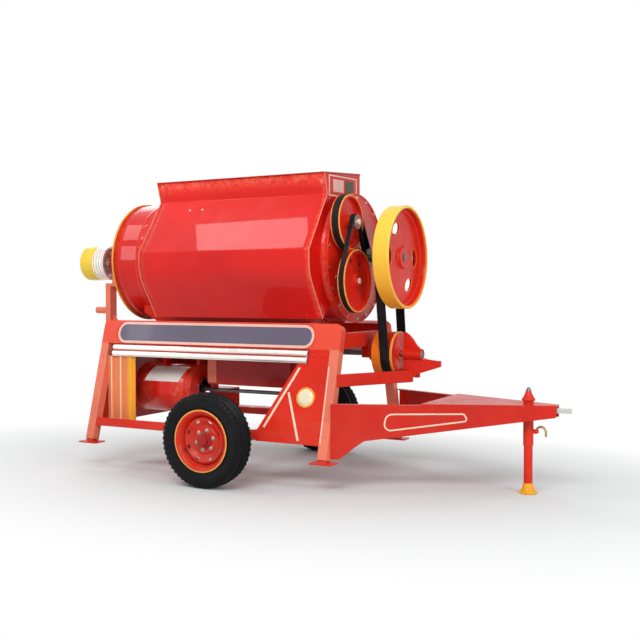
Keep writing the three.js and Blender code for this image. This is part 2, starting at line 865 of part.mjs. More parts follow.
// Open-bottomed grain trunk from the drum to the sieve, with runners that carry the sieve box
function grainTrunk() {
  const half = trunkHalfWidth + trunkSheet;
  const runnerBottom = sieveTop - ledgeThickness * 2 - fit;
  const mouthRear = sieveRear + 2 * trunkSheet;
  const mouthFront = sieveFront - 2 * trunkSheet;
  const ring = [[trunkRear, trunkTopZ], [trunkRear, trunkShoulderZ], [mouthRear, trunkBottomZ],
    [mouthFront, trunkBottomZ], [trunkFront, trunkShoulderZ], [trunkFront, trunkTopZ]];
  const hollow = inset(ring, trunkSheet);
  hollow[0][1] += overrun;
  hollow[hollow.length - 1][1] += overrun;
  const mouth = block(mouthRear + 2 * trunkSheet, mouthFront - 2 * trunkSheet,
    -trunkHalfWidth, trunkHalfWidth, trunkBottomZ - overrun, trunkBottomZ + 2 * trunkSheet);
  const shell = cut(alongY(outline(ring), -half, half),
    alongY(outline(hollow), -trunkHalfWidth, trunkHalfWidth), mouth);
  const runners = [-1, 1].flatMap((s) => {
    const wallInner = Math.min(s * trunkHalfWidth, s * half);
    const ledgeInner = Math.min(s * (trunkHalfWidth - ledgeWidth / 2), s * half);
    const ledgeWide = half - trunkHalfWidth + ledgeWidth / 2;
    return [
      block(sieveRear - sieveStroke, sieveFront + sieveStroke, wallInner, wallInner + trunkSheet,
        runnerBottom, trunkBottomZ + trunkSheet),
      block(sieveRear - sieveStroke, sieveFront + sieveStroke, ledgeInner, ledgeInner + ledgeWide,
        runnerBottom, runnerBottom + ledgeThickness),
    ];
  });
  const bore = rodX(boreFor(fanShaftRadius), mouthFront, trunkFront, fanY, fanZ);
  const body = join(shell, ...runners, fanHanger(mouthFront));
  return cut(body, casingTube(casingRadius + fit, casingRear, casingFront), bore);
}

// Plate under the trunk's sloping front wall that carries the bearing of the fan shaft
function fanHanger(mouthFront) {
  const steepness = (trunkShoulderZ - trunkBottomZ) / (trunkFront - mouthFront);
  const wallAt = (x) => trunkBottomZ + (x - mouthFront) * steepness + trunkSheet;
  const front = fanHangerRear + fanHangerLength;
  const low = fanZ - fanHangerHalfWidth;
  const side = outline([[fanHangerRear, low], [front, low], [front, wallAt(front)],
    [fanHangerRear, wallAt(fanHangerRear)]]);
  return alongY(side, fanY - fanHangerHalfWidth, fanY + fanHangerHalfWidth);
}

// Sieve box: an open tray with slotted floor that shakes along its runners
function sieveBox() {
  const half = sieveHalfWidth;
  const rim = trunkHalfWidth - 2 * fit;
  const box = block(sieveRear, sieveFront, -half, half, sieveBottom, sieveTop - fit);
  const rimPlate = block(sieveRear, sieveFront, -rim, rim, sieveTop - ledgeThickness, sieveTop - fit);
  const inside = block(sieveRear + sieveSheet, sieveFront - sieveSheet, -half + sieveSheet, half - sieveSheet,
    sieveBottom + sieveSheet, sieveTop + overrun);
  const pitch = (sieveFront - sieveRear - 2 * sieveSheet) / sieveSlots;
  const slots = [];
  for (let i = 0; i < sieveSlots; i += 1) {
    const middle = sieveRear + sieveSheet + pitch * (i + 1 / 2);
    slots.push(block(middle - pitch / 6, middle + pitch / 6, -half + pitch / 2, half - pitch / 2,
      sieveBottom - overrun, sieveBottom + 2 * sieveSheet));
  }
  return cut(join(box, rimPlate), inside, ...slots);
}

// Concave grate: a slotted trough under the drum, hung on flanges that reach the casing
function concave() {
  const angle = concaveFacets * Math.PI / casingSides;
  const outer = concaveRadius + concaveSheet;
  const reach = (casingRadius - casingSheet) * Math.cos(Math.PI / casingSides) - fit;
  const x0 = trunkRear + 2 * trunkSheet;
  const x1 = trunkFront - 2 * trunkSheet;
  const arc = new THREE.Shape();
  arc.absarc(0, 0, outer, -Math.PI / 2 - angle, -Math.PI / 2 + angle, false);
  arc.absarc(0, 0, concaveRadius, -Math.PI / 2 + angle, -Math.PI / 2 - angle, true);
  const trough = alongX(arc, x0, x1, concaveArcSteps).translate(0, 0, drumZ);
  const flanges = [-1, 1].map((s) => {
    const plate = block(x0, x1, 0, concaveSheet, -reach, -concaveRadius - fit);
    plate.translate(0, s < 0 ? 0 : -concaveSheet, 0);
    plate.rotateX(s * angle);
    return plate.translate(0, 0, drumZ);
  });
  const pitch = (x1 - x0) / concaveSlots;
  const step = 2 * angle / (concaveRows + 1);
  const slots = [];
  for (let row = 0; row < concaveRows; row += 1) {
    for (let i = 0; i < concaveSlots; i += 1) {
      const middle = x0 + pitch * (i + 1 / 2);
      const wide = pitch * concaveSlotShare / 2;
      const tall = concaveRadius * step * concaveSlotShare / 2;
      const slot = block(middle - wide, middle + wide, -tall, tall,
        -outer - overrun, -concaveRadius + overrun);
      slot.rotateX(-angle + step * (row + 1));
      slots.push(slot.translate(0, 0, drumZ));
    }
  }
  return cut(join(trough, ...flanges), ...slots);
}

// Threshing drum: through shaft, discs, beater bars and their pegs
function threshingRotor() {
  const pieces = [];
  const span = drumFront - drumRear - drumDiscSheet;
  const pitch = (drumFront - drumRear) / pegCount;
  for (let i = 0; i < drumDiscCount; i += 1) {
    const x = drumRear + span * i / (drumDiscCount - 1);
    pieces.push(rodX(drumDiscRadius, x, x + drumDiscSheet, 0, 0, roundSides));
  }
  for (let bar = 0; bar < barCount; bar += 1) {
    const angle = 2 * Math.PI * bar / barCount;
    const beam = block(drumRear, drumFront, -barWidth / 2, barWidth / 2,
      drumDiscRadius - barThickness, drumDiscRadius + barThickness);
    pieces.push(beam.rotateX(angle));
    for (let i = 0; i < pegCount; i += 1) {
      const x = drumRear + pitch * (i + (bar % 2 ? 1 : 3) / 4);
      const peg = block(x, x + pegSide, -pegSide / 2, pegSide / 2, drumDiscRadius,
        drumDiscRadius + barThickness + pegHeight);
      pieces.push(peg.rotateX(angle));
    }
  }
  const shaft = rodX(mainShaftRadius, mainShaftRear, mainShaftFront, 0, 0);
  const small = smallPulley(mainSmallRadius, feedBeltX, feedBeltWidth);
  return join(shaft, ...small, ...pieces).translate(0, 0, drumZ);
}

// Solid pulley that is part of a shaft on the X axis
function smallPulley(radius, beltX, beltWidth) {
  const half = beltWidth / 2 + flangeHeight;
  return [
    rodX(radius - flangeHeight, beltX - half, beltX + half, 0, 0, roundSides),
    rodX(radius, beltX - half, beltX - half + flangeHeight, 0, 0, roundSides),
    rodX(radius, beltX + half - flangeHeight, beltX + half, 0, 0, roundSides),
  ];
}

// Outline of a belt pulley on the X axis: hub, web and a rim whose flanges hold the belt
function pulley(radius, bore, x0, x1) {
  const seat = radius - flangeHeight;
  const inside = seat - pulleyRim;
  const hub = Math.min(pulleyHub, inside - pulleyRim);
  const middle = (x0 + x1) / 2;
  return [
    [bore, x0], [hub, x0], [hub, middle - pulleyWeb / 2], [inside, middle - pulleyWeb / 2],
    [inside, x0], [radius, x0], [radius, x0 + flangeHeight], [seat, x0 + flangeHeight],
    [seat, x1 - flangeHeight], [radius, x1 - flangeHeight], [radius, x1], [inside, x1],
    [inside, middle + pulleyWeb / 2], [hub, middle + pulleyWeb / 2], [hub, x1], [bore, x1],
  ];
}

function beltPulley(radius, shaftRadius, beltX, beltWidth, y, z) {
  const half = beltWidth / 2 + flangeHeight;
  return turnedX(pulley(radius, boreFor(shaftRadius, roundSides), beltX - half, beltX + half), y, z);
}

// A belt round two pulleys: the outer hull of two rings less the inner one
function beltLoop(first, second, beltX, beltWidth) {
  const [ay, az, ar] = first;
  const [by, bz, br] = second;
  const distance = Math.hypot(by - ay, bz - az);
  const heading = Math.atan2(bz - az, by - ay);
  const spread = Math.acos((ar - br) / distance);
  const hull = (grow) => {
    const points = [];
    const arc = (y, z, radius, from, to) => {
      const turn = (to - from) / beltArcSteps;
      const wide = (radius - flangeHeight + grow) / Math.cos(turn / 2);
      for (let i = 0; i <= beltArcSteps; i += 1) {
        const angle = from + turn * i;
        points.push([y + wide * Math.cos(angle), z + wide * Math.sin(angle)]);
      }
    };
    arc(ay, az, ar, heading + spread, heading + 2 * Math.PI - spread);
    arc(by, bz, br, heading - spread, heading + spread);
    return outline(points);
  };
  const outer = alongX(hull(fit + beltThickness), beltX - beltWidth / 2 + fit, beltX + beltWidth / 2 - fit);
  const inner = alongX(hull(fit), beltX - beltWidth, beltX + beltWidth);
  return cut(outer, inner);
}

// Rear pulley: a plain crowned band behind and grooves for V belts in front
function rearPulley() {
  const hub = pulleyHub;
  const rim = rearPulleyRadius - grooveDepth - rearPulleyRim;
  const bore = boreFor(mainShaftRadius, roundSides);
  const bandEnd = rearPulleyRear + rearPulleyBand;
  const pitch = (rearPulleyFront - bandEnd) / rearGrooves;
  const [rootStart, rootEnd, crestStart, crestEnd] = grooveShares;
  const profile = [[bore, rearPulleyRear], [hub, rearPulleyRear], [hub, bandEnd - pulleyWeb],
    [rim, bandEnd - pulleyWeb], [rim, rearPulleyRear], [rearPulleyRadius, rearPulleyRear],
    [rearPulleyRadius, bandEnd]];
  for (let i = 0; i < rearGrooves; i += 1) {
    const x = bandEnd + pitch * i;
    profile.push([rearPulleyRadius - grooveDepth, x + pitch * rootStart]);
    profile.push([rearPulleyRadius - grooveDepth, x + pitch * rootEnd]);
    profile.push([rearPulleyRadius, x + pitch * crestStart]);
    if (i < rearGrooves - 1) {
      profile.push([rearPulleyRadius, x + pitch * crestEnd]);
    }
  }
  profile.push([rearPulleyRadius, rearPulleyFront], [rim, rearPulleyFront], [rim, bandEnd], [hub, bandEnd],
    [hub, rearPulleyFront], [bore, rearPulleyFront]);
  return turnedX(profile, 0, drumZ);
}

// Flywheel: heavy rim, thin web with oval holes, hub on the main shaft
function flywheel() {
  const x0 = flywheelRear;
  const x1 = flywheelRear + flywheelWidth;
  const middle = (x0 + x1) / 2;
  const web = flywheelWeb / 2;
  const inside = flywheelRadius - flywheelRim;
  const hub = flywheelHub;
  const hubFront = middle + flywheelHubReach;
  const bore = boreFor(mainShaftRadius, roundSides);
  const wheel = turnedX([[bore, x0], [hub, x0], [hub, middle - web], [inside, middle - web], [inside, x0],
    [flywheelRadius, x0], [flywheelRadius, x1], [inside, x1], [inside, middle + web], [hub, middle + web],
    [hub, hubFront], [bore, hubFront]], 0, 0, flywheelSides);
  const holes = flywheelHoleAngles.map((degrees) => {
    const shape = new THREE.Shape();
    shape.absellipse(flywheelHoleRadius, 0, flywheelHoleWidth / 2, flywheelHoleLength / 2, 0, 2 * Math.PI);
    const hole = alongX(shape, middle - flywheelWeb, middle + flywheelWeb, flywheelHoleSteps);
    return hole.rotateX(THREE.MathUtils.degToRad(degrees));
  });
  return cut(wheel, ...holes).translate(0, 0, drumZ);
}

// Stand that carries the rear bearing: outrigger on the rear cross member, post, cap arm and pedestal
function rearStand() {
  const top = crossTop;
  const rear = rearStandX - standWidth / 2;
  const crossRear = rearCrossX - fit;
  const half = standDepth / 2;
  const arm = block(rear, crossRear, -half, half, top - shelfHeight, top);
  const post = block(rear, rear + standWidth, -half, half, top - crossWall, rearPostTop);
  const cap = block(rear, pedestalFront, -half, half, rearPostTop - standWidth / 2, rearPostTop);
  const pedestal = block(pedestalRear, pedestalFront, -half, half, rearPostTop - crossWall, drumZ);
  const postFront = rear + standWidth;
  const gusset = alongY(outline([[rearStandX, top - crossWall], [postFront + standGusset, top - crossWall],
    [postFront, top + standGusset], [rearStandX, top + standGusset]]), -crossWall, crossWall);
  const rod = rodX(standRodRadius, standRodX, rearStandX, 0, standRodZ);
  const clearance = turnedX([[0, coneNoseX - fit], [coneNoseRadius + fit, coneNoseX - fit],
    [coneTipRadius - coneTipRadius / 4 + fit, coneNoseX + coneTipRadius / 4],
    [coneTipRadius + 2 * fit, coneTipX], [coneBaseRadius + 2 * fit, casingRear], [0, casingRear]],
    0, drumZ, casingSides);
  const hollow = block(rear - overrun, crossRear - crossWall, crossWall - half, half - crossWall,
    top - shelfHeight + crossWall, top - crossWall);
  return cut(join(arm, post, cap, pedestal, gusset, rod), clearance, hollow);
}

// Feed shaft with its pegs over the throat, and a small pulley at its outer end
function feedShaft() {
  const rear = casingRear - wallSheet - overrun / 2;
  const front = counterBeltX + counterBeltWidth / 2 + flangeHeight + overrun / 2;
  const shaft = rodX(feedShaftRadius, rear, front, 0, 0);
  const pitch = (throatFront - throatRear) / feedPegCount;
  const pegs = [];
  for (let i = 0; i < feedPegCount; i += 1) {
    const middle = throatRear + pitch * (i + 1 / 2);
    const peg = block(middle - pegSide / 2, middle + pegSide / 2, -pegSide / 2, pegSide / 2,
      -feedPegRadius, feedPegRadius);
    pegs.push(peg.rotateX(i * Math.PI / 3));
  }
  const small = smallPulley(feedSmallRadius, counterBeltX, counterBeltWidth);
  return join(shaft, ...small, ...pegs).translate(0, feedY, feedZ);
}

function frontDrive() {
  part(thresher, "feed_shaft", feedShaft(), paints.steel());
  const feedWheel = beltPulley(feedPulleyRadius, feedShaftRadius, feedBeltX, feedBeltWidth, feedY, feedZ);
  part(thresher, "feed_pulley", feedWheel, paints.red());
  const counterFront = counterBeltX + counterBeltWidth / 2 + flangeHeight + overrun / 2;
  const counter = rodX(counterShaftRadius, casingFront - overrun / 2, counterFront, counterY, counterZ);
  part(thresher, "counter_shaft", counter, paints.steel());
  const counterWheel = beltPulley(counterPulleyRadius, counterShaftRadius, counterBeltX, counterBeltWidth,
    counterY, counterZ);
  part(thresher, "counter_pulley", counterWheel, paints.red());
  part(thresher, "flywheel", flywheel(), paints.red());
  const drive = beltPulley(drivePulleyRadius, mainShaftRadius, driveBeltX, driveBeltWidth, 0, drumZ);
  part(thresher, "drive_pulley", drive, paints.red());
  part(thresher, "input_shaft", inputShaft(), paints.darkSteel());
  const input = beltPulley(inputPulleyRadius, inputShaftRadius, driveBeltX, driveBeltWidth, inputY, inputZ);
  part(thresher, "input_pulley", input, paints.red());
  const onMain = (radius) => [0, drumZ, radius];
  const onFeed = (radius) => [feedY, feedZ, radius];
  const onInput = (radius) => [inputY, inputZ, radius];
  const belts = [
    ["main_belts", onMain(drivePulleyRadius), onInput(inputPulleyRadius), driveBeltX, driveBeltWidth],
    ["feed_belt", onMain(mainSmallRadius), onFeed(feedPulleyRadius), feedBeltX, feedBeltWidth],
    ["counter_belt", onFeed(feedSmallRadius), [counterY, counterZ, counterPulleyRadius],
      counterBeltX, counterBeltWidth],
    ["fan_belt", onInput(fanDriverRadius), [fanY, fanZ, fanPulleyRadius], fanDriveX, fanDriveWidth],
  ];
  for (const [name, first, second, x, width] of belts) {
    part(thresher, name, beltLoop(first, second, x, width), paints.rubber());
  }
}

// Input shaft: stub for the power shaft, yellow pulley beside the belt pulley, fan driver at its rear end
function inputShaft() {
  const shaft = rodX(inputShaftRadius, inputShaftRear, inputShaftFront, 0, 0);
  const stub = rodX(inputStubRadius, inputShaftFront - inputStubLength, inputShaftFront, 0, 0);
  const beltRear = driveBeltX - driveBeltWidth / 2 - flangeHeight - fit;
  const yellow = rodX(yellowPulleyRadius, beltRear - yellowPulleyWidth, beltRear, 0, 0, roundSides);
  const hollow = turnedX([[pulleyHub, beltRear - yellowPulleyWidth - overrun],
    [yellowPulleyRadius - pulleyRim, beltRear - yellowPulleyWidth - overrun],
    [yellowPulleyRadius - pulleyRim, beltRear - pulleyWeb], [pulleyHub, beltRear - pulleyWeb]], 0, 0);
  const driver = smallPulley(fanDriverRadius, fanDriveX, fanDriveWidth);
  return cut(join(shaft, stub, yellow, ...driver), hollow).translate(0, inputY, inputZ);
}

// Braces from the front legs to the bracket that carries the front of the input shaft
function inputBrace(sign) {
  const rootX = frontLegX + legWidth / 2 + fit;
  const rootY = sign * (faceAt(braceTop) - legWidth / 2);
  const meetX = sign < 0 ? nearBraceMeetX : farBraceMeetX;
  const height = sign < 0 ? braceHeight : farBraceHeight;
  const angle = Math.atan2(inputY - rootY, meetX - rootX);
  const length = Math.hypot(inputY - rootY, meetX - rootX);
  const bar = block(-legWidth, length + legWidth, -braceThickness / 2, braceThickness / 2,
    braceTop - height, braceTop);
  bar.rotateZ(angle).translate(rootX, rootY, 0);
  const behind = block(rootX - 4 * legWidth, rootX, -2 * footHalfWidth, 2 * footHalfWidth, 0, frameTop);
  const plateFace = inputY + sign * (bracketThickness / 2 + fit);
  const beyond = sign < 0
    ? block(0, tongueTipX, plateFace, 2 * footHalfWidth, 0, frameTop)
    : block(0, tongueTipX, -2 * footHalfWidth, plateFace, 0, frameTop);
  return cut(bar, behind, beyond);
}

function inputBracket() {
  const shape = outline(bracketOutline.map(([along, up]) => [bracketRear + along, braceTop + up]));
  const half = bracketThickness / 2;
  const plate = alongY(shape, inputY - half, inputY + half);
  const tube = rodX(bracketTubeRadius, bracketRear, inputShaftFront, inputY, inputZ, roundSides);
  const bore = rodX(boreFor(inputShaftRadius), bracketRear - overrun, inputShaftFront, inputY, inputZ);
  const pocket = rodX(bracketPocketRadius, bracketPocketRear, inputShaftFront + overrun, inputY, inputZ,
    roundSides);
  return cut(join(plate, tube), bore, pocket);
}

// Suction fan for the chaff: round housing with its eye towards the sieve and an outlet on the far side
function blowerHousing() {
  const x0 = fanX - fanHousingHalfLength;
  const x1 = fanX + fanHousingHalfLength;
  const duct = (thickness, reach) => join(
    rodX(fanHousingRadius - thickness, x0 + thickness, x1 - thickness, fanY, fanZ, casingSides),
    block(x0 + thickness, x1 - thickness, fanY, fanY + reach, fanZ - fanHousingRadius + thickness,
      fanZ - fanHousingRadius + fanOutletHeight - thickness),
  );
  const eye = rodX(fanEyeRadius, x1 - overrun, x1 + overrun, fanY, fanZ, roundSides);
  const bore = rodX(boreFor(fanShaftRadius), x0 - overrun, x0 + overrun, fanY, fanZ);
  const straps = [x1 - strapInset - strapSpacing, x1 - strapInset].map(blowerStrap);
  const guardY = fanY + fanGuardReach;
  const guardLow = fanZ - fanHousingRadius + fanOutletHeight - fanSheet / 2;
  const guard = block(x0, x1, guardY, guardY + fanSheet, guardLow, fanGuardTop);
  const inside = duct(fanSheet, fanOutletReach + overrun);
  return cut(join(duct(0, fanOutletReach), guard, ...straps), inside, eye, bore);
}

// Strap that hangs the housing from the sloping wall of the grain trunk, its front face at x
function blowerStrap(x) {
  const mouthRear = sieveRear + 2 * trunkSheet;
  const steepness = (trunkShoulderZ - trunkBottomZ) / (mouthRear - trunkRear);
  const wallAt = (at) => trunkShoulderZ - (at - trunkRear) * steepness - 2 * fit;
  const low = fanZ + fanHousingRadius - strapDepth;
  const back = x - strapDepth;
  const side = outline([[back, low], [x, low], [x, wallAt(x)], [back, wallAt(back)]]);
  return alongY(side, fanY - strapHalfWidth, fanY + strapHalfWidth);
}

// Fan: a long shaft with flat paddles in the housing and a small pulley at its front end
function fanRotor() {
  const shaft = rodX(fanShaftRadius, fanShaftRear, fanDriveX + overrun, 0, 0);
  const x0 = fanX - fanHousingHalfLength + overrun;
  const x1 = fanX + fanHousingHalfLength - overrun;
  const paddles = [];
  for (let i = 0; i < fanPaddleCount; i += 1) {
    const paddle = block(x0, x1, -fanPaddleSheet / 2, fanPaddleSheet / 2, 0, fanPaddleRadius);
    paddles.push(paddle.rotateX(2 * Math.PI * i / fanPaddleCount));
  }
  const driven = smallPulley(fanPulleyRadius, fanDriveX, fanDriveWidth);
  return join(shaft, ...paddles, ...driven).translate(0, fanY, fanZ);
}

// Straw outlet: a sloping chute from the casing to the far side
function strawSpout() {
  const ring = [[0, strawBottomZ], [strawReach, strawBottomZ - strawDrop],
    [strawReach, strawTopZ - strawDrop], [0, strawTopZ]];
  const hollow = inset(ring, trunkSheet);
  hollow[1][0] += overrun;
  hollow[2][0] += overrun;
  return cut(alongX(outline(ring), strawRear, strawFront),
    alongX(outline(hollow), strawRear + trunkSheet, strawFront - trunkSheet),
    casingTube(casingRadius + fit, strawRear - overrun, strawFront + overrun));
}

// Drawbar: two flanged side plates that run together towards the hitch
const tongueFlangeTop = tongueTop - tongueSheet - fit;

function tonguePlate(sign) {
  const rearX = frontLegX + legWidth / 2 + fit;
  const angle = Math.atan2(tongueRearY - tongueTipY, tongueTipX - rearX);
  const length = Math.hypot(tongueRearY - tongueTipY, tongueTipX - rearX);
  const along = (step) => step / Math.cos(angle);
  const lower = tongueRearSteps.map((step, i) => [along(step), tongueTop - tongueRearDepths[i]]);
  const shape = outline([[-tongueFlange, tongueTop - tongueRearDepths[0]], ...lower,
    [length, tongueTop - tongueTipDepth], [length, tongueFlangeTop], [-tongueFlange, tongueFlangeTop]]);
  const plate = alongY(shape, 0, tongueSheet);
  const flange = block(-tongueFlange, length, 0, tongueFlange,
    tongueFlangeTop - tongueSheet, tongueFlangeTop);
  const body = join(plate, flange);
  body.rotateZ(angle).translate(rearX, -tongueRearY, 0);
  const behind = block(rearX - 4 * legWidth, rearX, -2 * footHalfWidth, 2 * footHalfWidth, 0, frameTop);
  const beyond = block(0, hitchTip, -fit, 2 * footHalfWidth, 0, frameTop);
  const plain = cut(body, behind, beyond);
  return sign < 0 ? plain : flipped(plain, "y");
}

function tongueTopPlate() {
  const rearX = frontLegX + legWidth / 2 + fit;
  const halfAt = (x) => tongueRearY - (x - rearX) * (tongueRearY - tongueTipY) / (tongueTipX - rearX);
  const shape = outline([[topPlateRear, -halfAt(topPlateRear)], [tongueTipX, -tongueTipY],
    [tongueTipX, tongueTipY], [topPlateRear, halfAt(topPlateRear)]]);
  const plate = slab(shape, tongueSheet).translate(0, 0, tongueTop - tongueSheet);
  const hole = rodZ(boreFor(jackSleeveRadius, roundSides), tongueTop - overrun, tongueTop + overrun, jackX, 0,
    roundSides);
  return cut(plate, hole);
}

// Hitch bar between the tips of the side plates; its rounded eye is a little thinner than its shank
function hitchBar() {
  const top = tongueFlangeTop - tongueSheet - fit;
  const half = hitchWidth / 2;
  const shape = new THREE.Shape();
  shape.moveTo(hitchRear, -half);
  shape.lineTo(hitchTip - half, -half);
  shape.absarc(hitchTip - half, 0, half, -Math.PI / 2, Math.PI / 2);
  shape.lineTo(hitchRear, half);
  shape.closePath();
  const eye = new THREE.Path();
  eye.absarc(hitchTip - half, 0, hitchHole, 0, 2 * Math.PI, true);
  shape.holes.push(eye);
  const bar = slab(shape, hitchThickness).translate(0, 0, top - hitchThickness);
  const tipRear = tongueTipX + tongueSheet;
  const reliefs = [top - hitchRelief, top - hitchThickness - overrun].map((z) => (
    block(tipRear, hitchTip + overrun, -hitchWidth, hitchWidth, z, z + overrun + hitchRelief)));
  return cut(bar, ...reliefs);
}

// A turned body about an upright axis at (x, 0)
function turnedZ(profile, x) {
  const points = [...profile, profile[0]].map(([radius, z]) => new THREE.Vector2(radius, z));
  const geometry = outward(new THREE.LatheGeometry(points, roundSides));
  geometry.rotateX(Math.PI / 2);
  return geometry.translate(x, 0, 0);
}

// Sleeve of the support leg, with the ears and the pin that carry the latch
function jackSleeve() {
  const bore = jackSleeveRadius - jackWall;
  const sleeve = turnedZ([[bore, jackSleeveBottom], [jackSleeveRadius, jackSleeveBottom],
    [jackSleeveRadius, jackCapBottom], [jackCapRadius, jackCapBottom], [jackCapRadius, jackCollarTop],
    [jackWall * 2, jackConeTop], [0, jackConeTop],
    [0, jackCollarTop - jackWall], [bore, jackCollarTop - jackWall]], jackX);
  const earX = latchPivotX + latchRadius + jackWall;
  const ears = [-1, 1].map((s) => {
    const inner = Math.min(s * (latchThickness / 2 + fit), s * (latchThickness / 2 + fit + jackWall));
    return block(jackX + jackSleeveRadius - jackWall / 2, earX, inner, inner + jackWall,
      latchZ - latchRadius - jackWall, latchZ + latchRadius + jackWall);
  });
  const pin = rodX(latchPin, -latchThickness / 2 - jackWall, latchThickness / 2 + jackWall, 0, 0);
  pin.rotateZ(Math.PI / 2).translate(latchPivotX, 0, latchZ);
  return join(sleeve, ...ears, pin);
}

// Support leg that slides in the sleeve, with its round foot
function propLeg() {
  const leg = rodZ(jackLegRadius, 0, jackLegTop, jackX, 0, roundSides);
  const foot = rodZ(jackFootRadius, 0, jackFootThickness, jackX, 0, roundSides);
  return join(leg, foot);
}

// Hooked latch that hangs on the sleeve's ears: an arch with a straight tail
function propLatch() {
  const middle = latchPivotX + latchArch;
  const outer = latchArch + latchBar / 2;
  const inner = latchArch - latchBar / 2;
  const tail = latchZ - latchDrop;
  const shape = new THREE.Shape();
  shape.moveTo(middle + inner, tail);
  shape.lineTo(middle + outer, tail);
  shape.lineTo(middle + outer, latchZ);
  shape.absarc(middle, latchZ, outer, 0, Math.PI);
  shape.lineTo(middle - inner, latchZ);
  shape.absarc(middle, latchZ, inner, Math.PI, 0, true);
  shape.closePath();
  const thick = latchThickness / 2;
  const eye = rodX(latchRadius, -thick, thick, 0, 0);
  eye.rotateZ(Math.PI / 2).translate(latchPivotX, 0, latchZ);
  const bore = rodX(boreFor(latchPin), -latchThickness, latchThickness, 0, 0);
  bore.rotateZ(Math.PI / 2).translate(latchPivotX, 0, latchZ);
  return cut(join(alongY(shape, -thick, thick), eye), bore);
}

sideFrames();
ribPanels();
feet();
crossMembers();
wheels();
part(thresher, "axle_beam", axleBeam(), paints.deepRed());
part(thresher, "drum_casing", drumCasing(), paints.red());
part(thresher, "feed_hood", feedHood(), paints.red());
part(thresher, "rear_end_wall", rearWall(), paints.deepRed());
part(thresher, "front_end_wall", frontWall(), paints.red());
part(thresher, "concave_grate", concave(), paints.darkSteel());
part(thresher, "threshing_rotor", threshingRotor(), paints.darkSteel());
part(thresher, "grain_trunk", grainTrunk(), paints.red());
part(thresher, "sieve_box", sieveBox(), paints.red());
part(thresher, "straw_spout", strawSpout(), paints.red());
part(thresher, "blower_housing", blowerHousing(), paints.red());
part(thresher, "fan_rotor", fanRotor(), paints.darkSteel());
part(thresher, "rear_bearing_stand", rearStand(), paints.red());
part(thresher, "rear_pulley", rearPulley(), paints.steel());
frontDrive();
part(thresher, "near_input_brace", inputBrace(-1), paints.red());
part(thresher, "far_input_brace", inputBrace(1), paints.red());
part(thresher, "pto_bracket", inputBracket(), paints.red());
part(thresher, "near_tongue_plate", tonguePlate(-1), paints.red());
part(thresher, "far_tongue_plate", tonguePlate(1), paints.red());
part(thresher, "tongue_top_plate", tongueTopPlate(), paints.red());
part(thresher, "hitch_bar", hitchBar(), paints.steel());
part(thresher, "jack_sleeve", jackSleeve(), paints.red());
part(thresher, "prop_leg", propLeg(), paints.yellow());
part(thresher, "prop_latch", propLatch(), paints.yellow());

thresher.position.x = -(rearPulleyRear + hitchTip) / 2;
export default thresher;
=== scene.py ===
import bpy
import bmesh
import math
import random
from mathutils import Matrix, Vector


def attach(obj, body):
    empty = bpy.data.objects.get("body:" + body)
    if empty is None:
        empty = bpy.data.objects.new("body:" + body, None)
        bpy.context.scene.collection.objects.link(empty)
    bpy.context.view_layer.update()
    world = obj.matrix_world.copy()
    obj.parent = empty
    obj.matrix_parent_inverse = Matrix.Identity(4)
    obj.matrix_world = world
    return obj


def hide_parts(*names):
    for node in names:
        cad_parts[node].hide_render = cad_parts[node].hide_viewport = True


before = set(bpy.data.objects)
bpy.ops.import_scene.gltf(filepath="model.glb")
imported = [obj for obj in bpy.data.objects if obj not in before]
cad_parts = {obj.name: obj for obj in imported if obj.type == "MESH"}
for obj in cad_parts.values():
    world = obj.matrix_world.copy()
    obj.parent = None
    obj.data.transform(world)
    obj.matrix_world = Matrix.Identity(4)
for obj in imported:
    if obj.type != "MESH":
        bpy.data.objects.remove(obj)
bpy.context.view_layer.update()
scene = bpy.context.scene
random.seed(7)

AXLE = -0.289                       # the wheel axle's X; other X values are counted from it by ax()
DRUM_Z = 1.772
DRUM = (0, DRUM_Z)                  # shaft lines at (Y, Z)
FEED = (-0.33, 2.04)
COUNTER = (-0.33, 1.584)
INPUT = (0.12, 1.0)
FAN = (-0.19, 0.662)
FOOT_Y, TOP_Y, FOOT_Z, TOP_Z = 0.735, 0.46, 0.21, 1.255
LEAN = math.atan((FOOT_Y - TOP_Y) / (TOP_Z - FOOT_Z))
COS, SIN = math.cos(LEAN), math.sin(LEAN)
DRUM_BORE, INPUT_BORE = 0.0326, 0.0226
WIDE_WHEEL = (1.047, 1.143)         # rear and front of the two pulleys with four grooves
LEGS = (-1.37, 0.88)                # the rear and the front legs' X from the axle
GUSSET_FACE = -0.0003               # the gusset plate's face, out from the side frame's own plane


# Camera
camera_data = bpy.data.cameras.new("camera")
camera_data.lens = 52.54
camera_data.sensor_width = 36
camera = bpy.data.objects.new("camera", camera_data)
scene.collection.objects.link(camera)
scene.camera = camera
azimuth, pitch = math.radians(28), math.radians(1.65)
looking = Vector((-math.sin(azimuth) * math.cos(pitch),
                  math.cos(azimuth) * math.cos(pitch), -math.sin(pitch)))
camera.location = (4.118 + AXLE, -6.835, 1.49)
camera.rotation_mode = "QUATERNION"
camera.rotation_quaternion = looking.to_track_quat("-Z", "Y")


# Materials
def nodes_of(name):
    material = bpy.data.materials.new(name)
    material.use_nodes = True
    tree = material.node_tree
    shader = tree.nodes["Principled BSDF"]
    return material, tree, shader


def link(source, target):
    target.id_data.links.new(source, target)


def adjust(made, settings):
    for key, value in settings.items():
        made.inputs[key].default_value = value


def node(tree, kind, **settings):
    """A shader node; each setting is one of its inputs or else one of its properties."""
    made = tree.nodes.new(kind)
    for key, value in settings.items():
        if key in made.inputs:
            made.inputs[key].default_value = value
        else:
            setattr(made, key, value)
    return made


def place_on(tree):
    return node(tree, "ShaderNodeTexCoord").outputs["Object"]


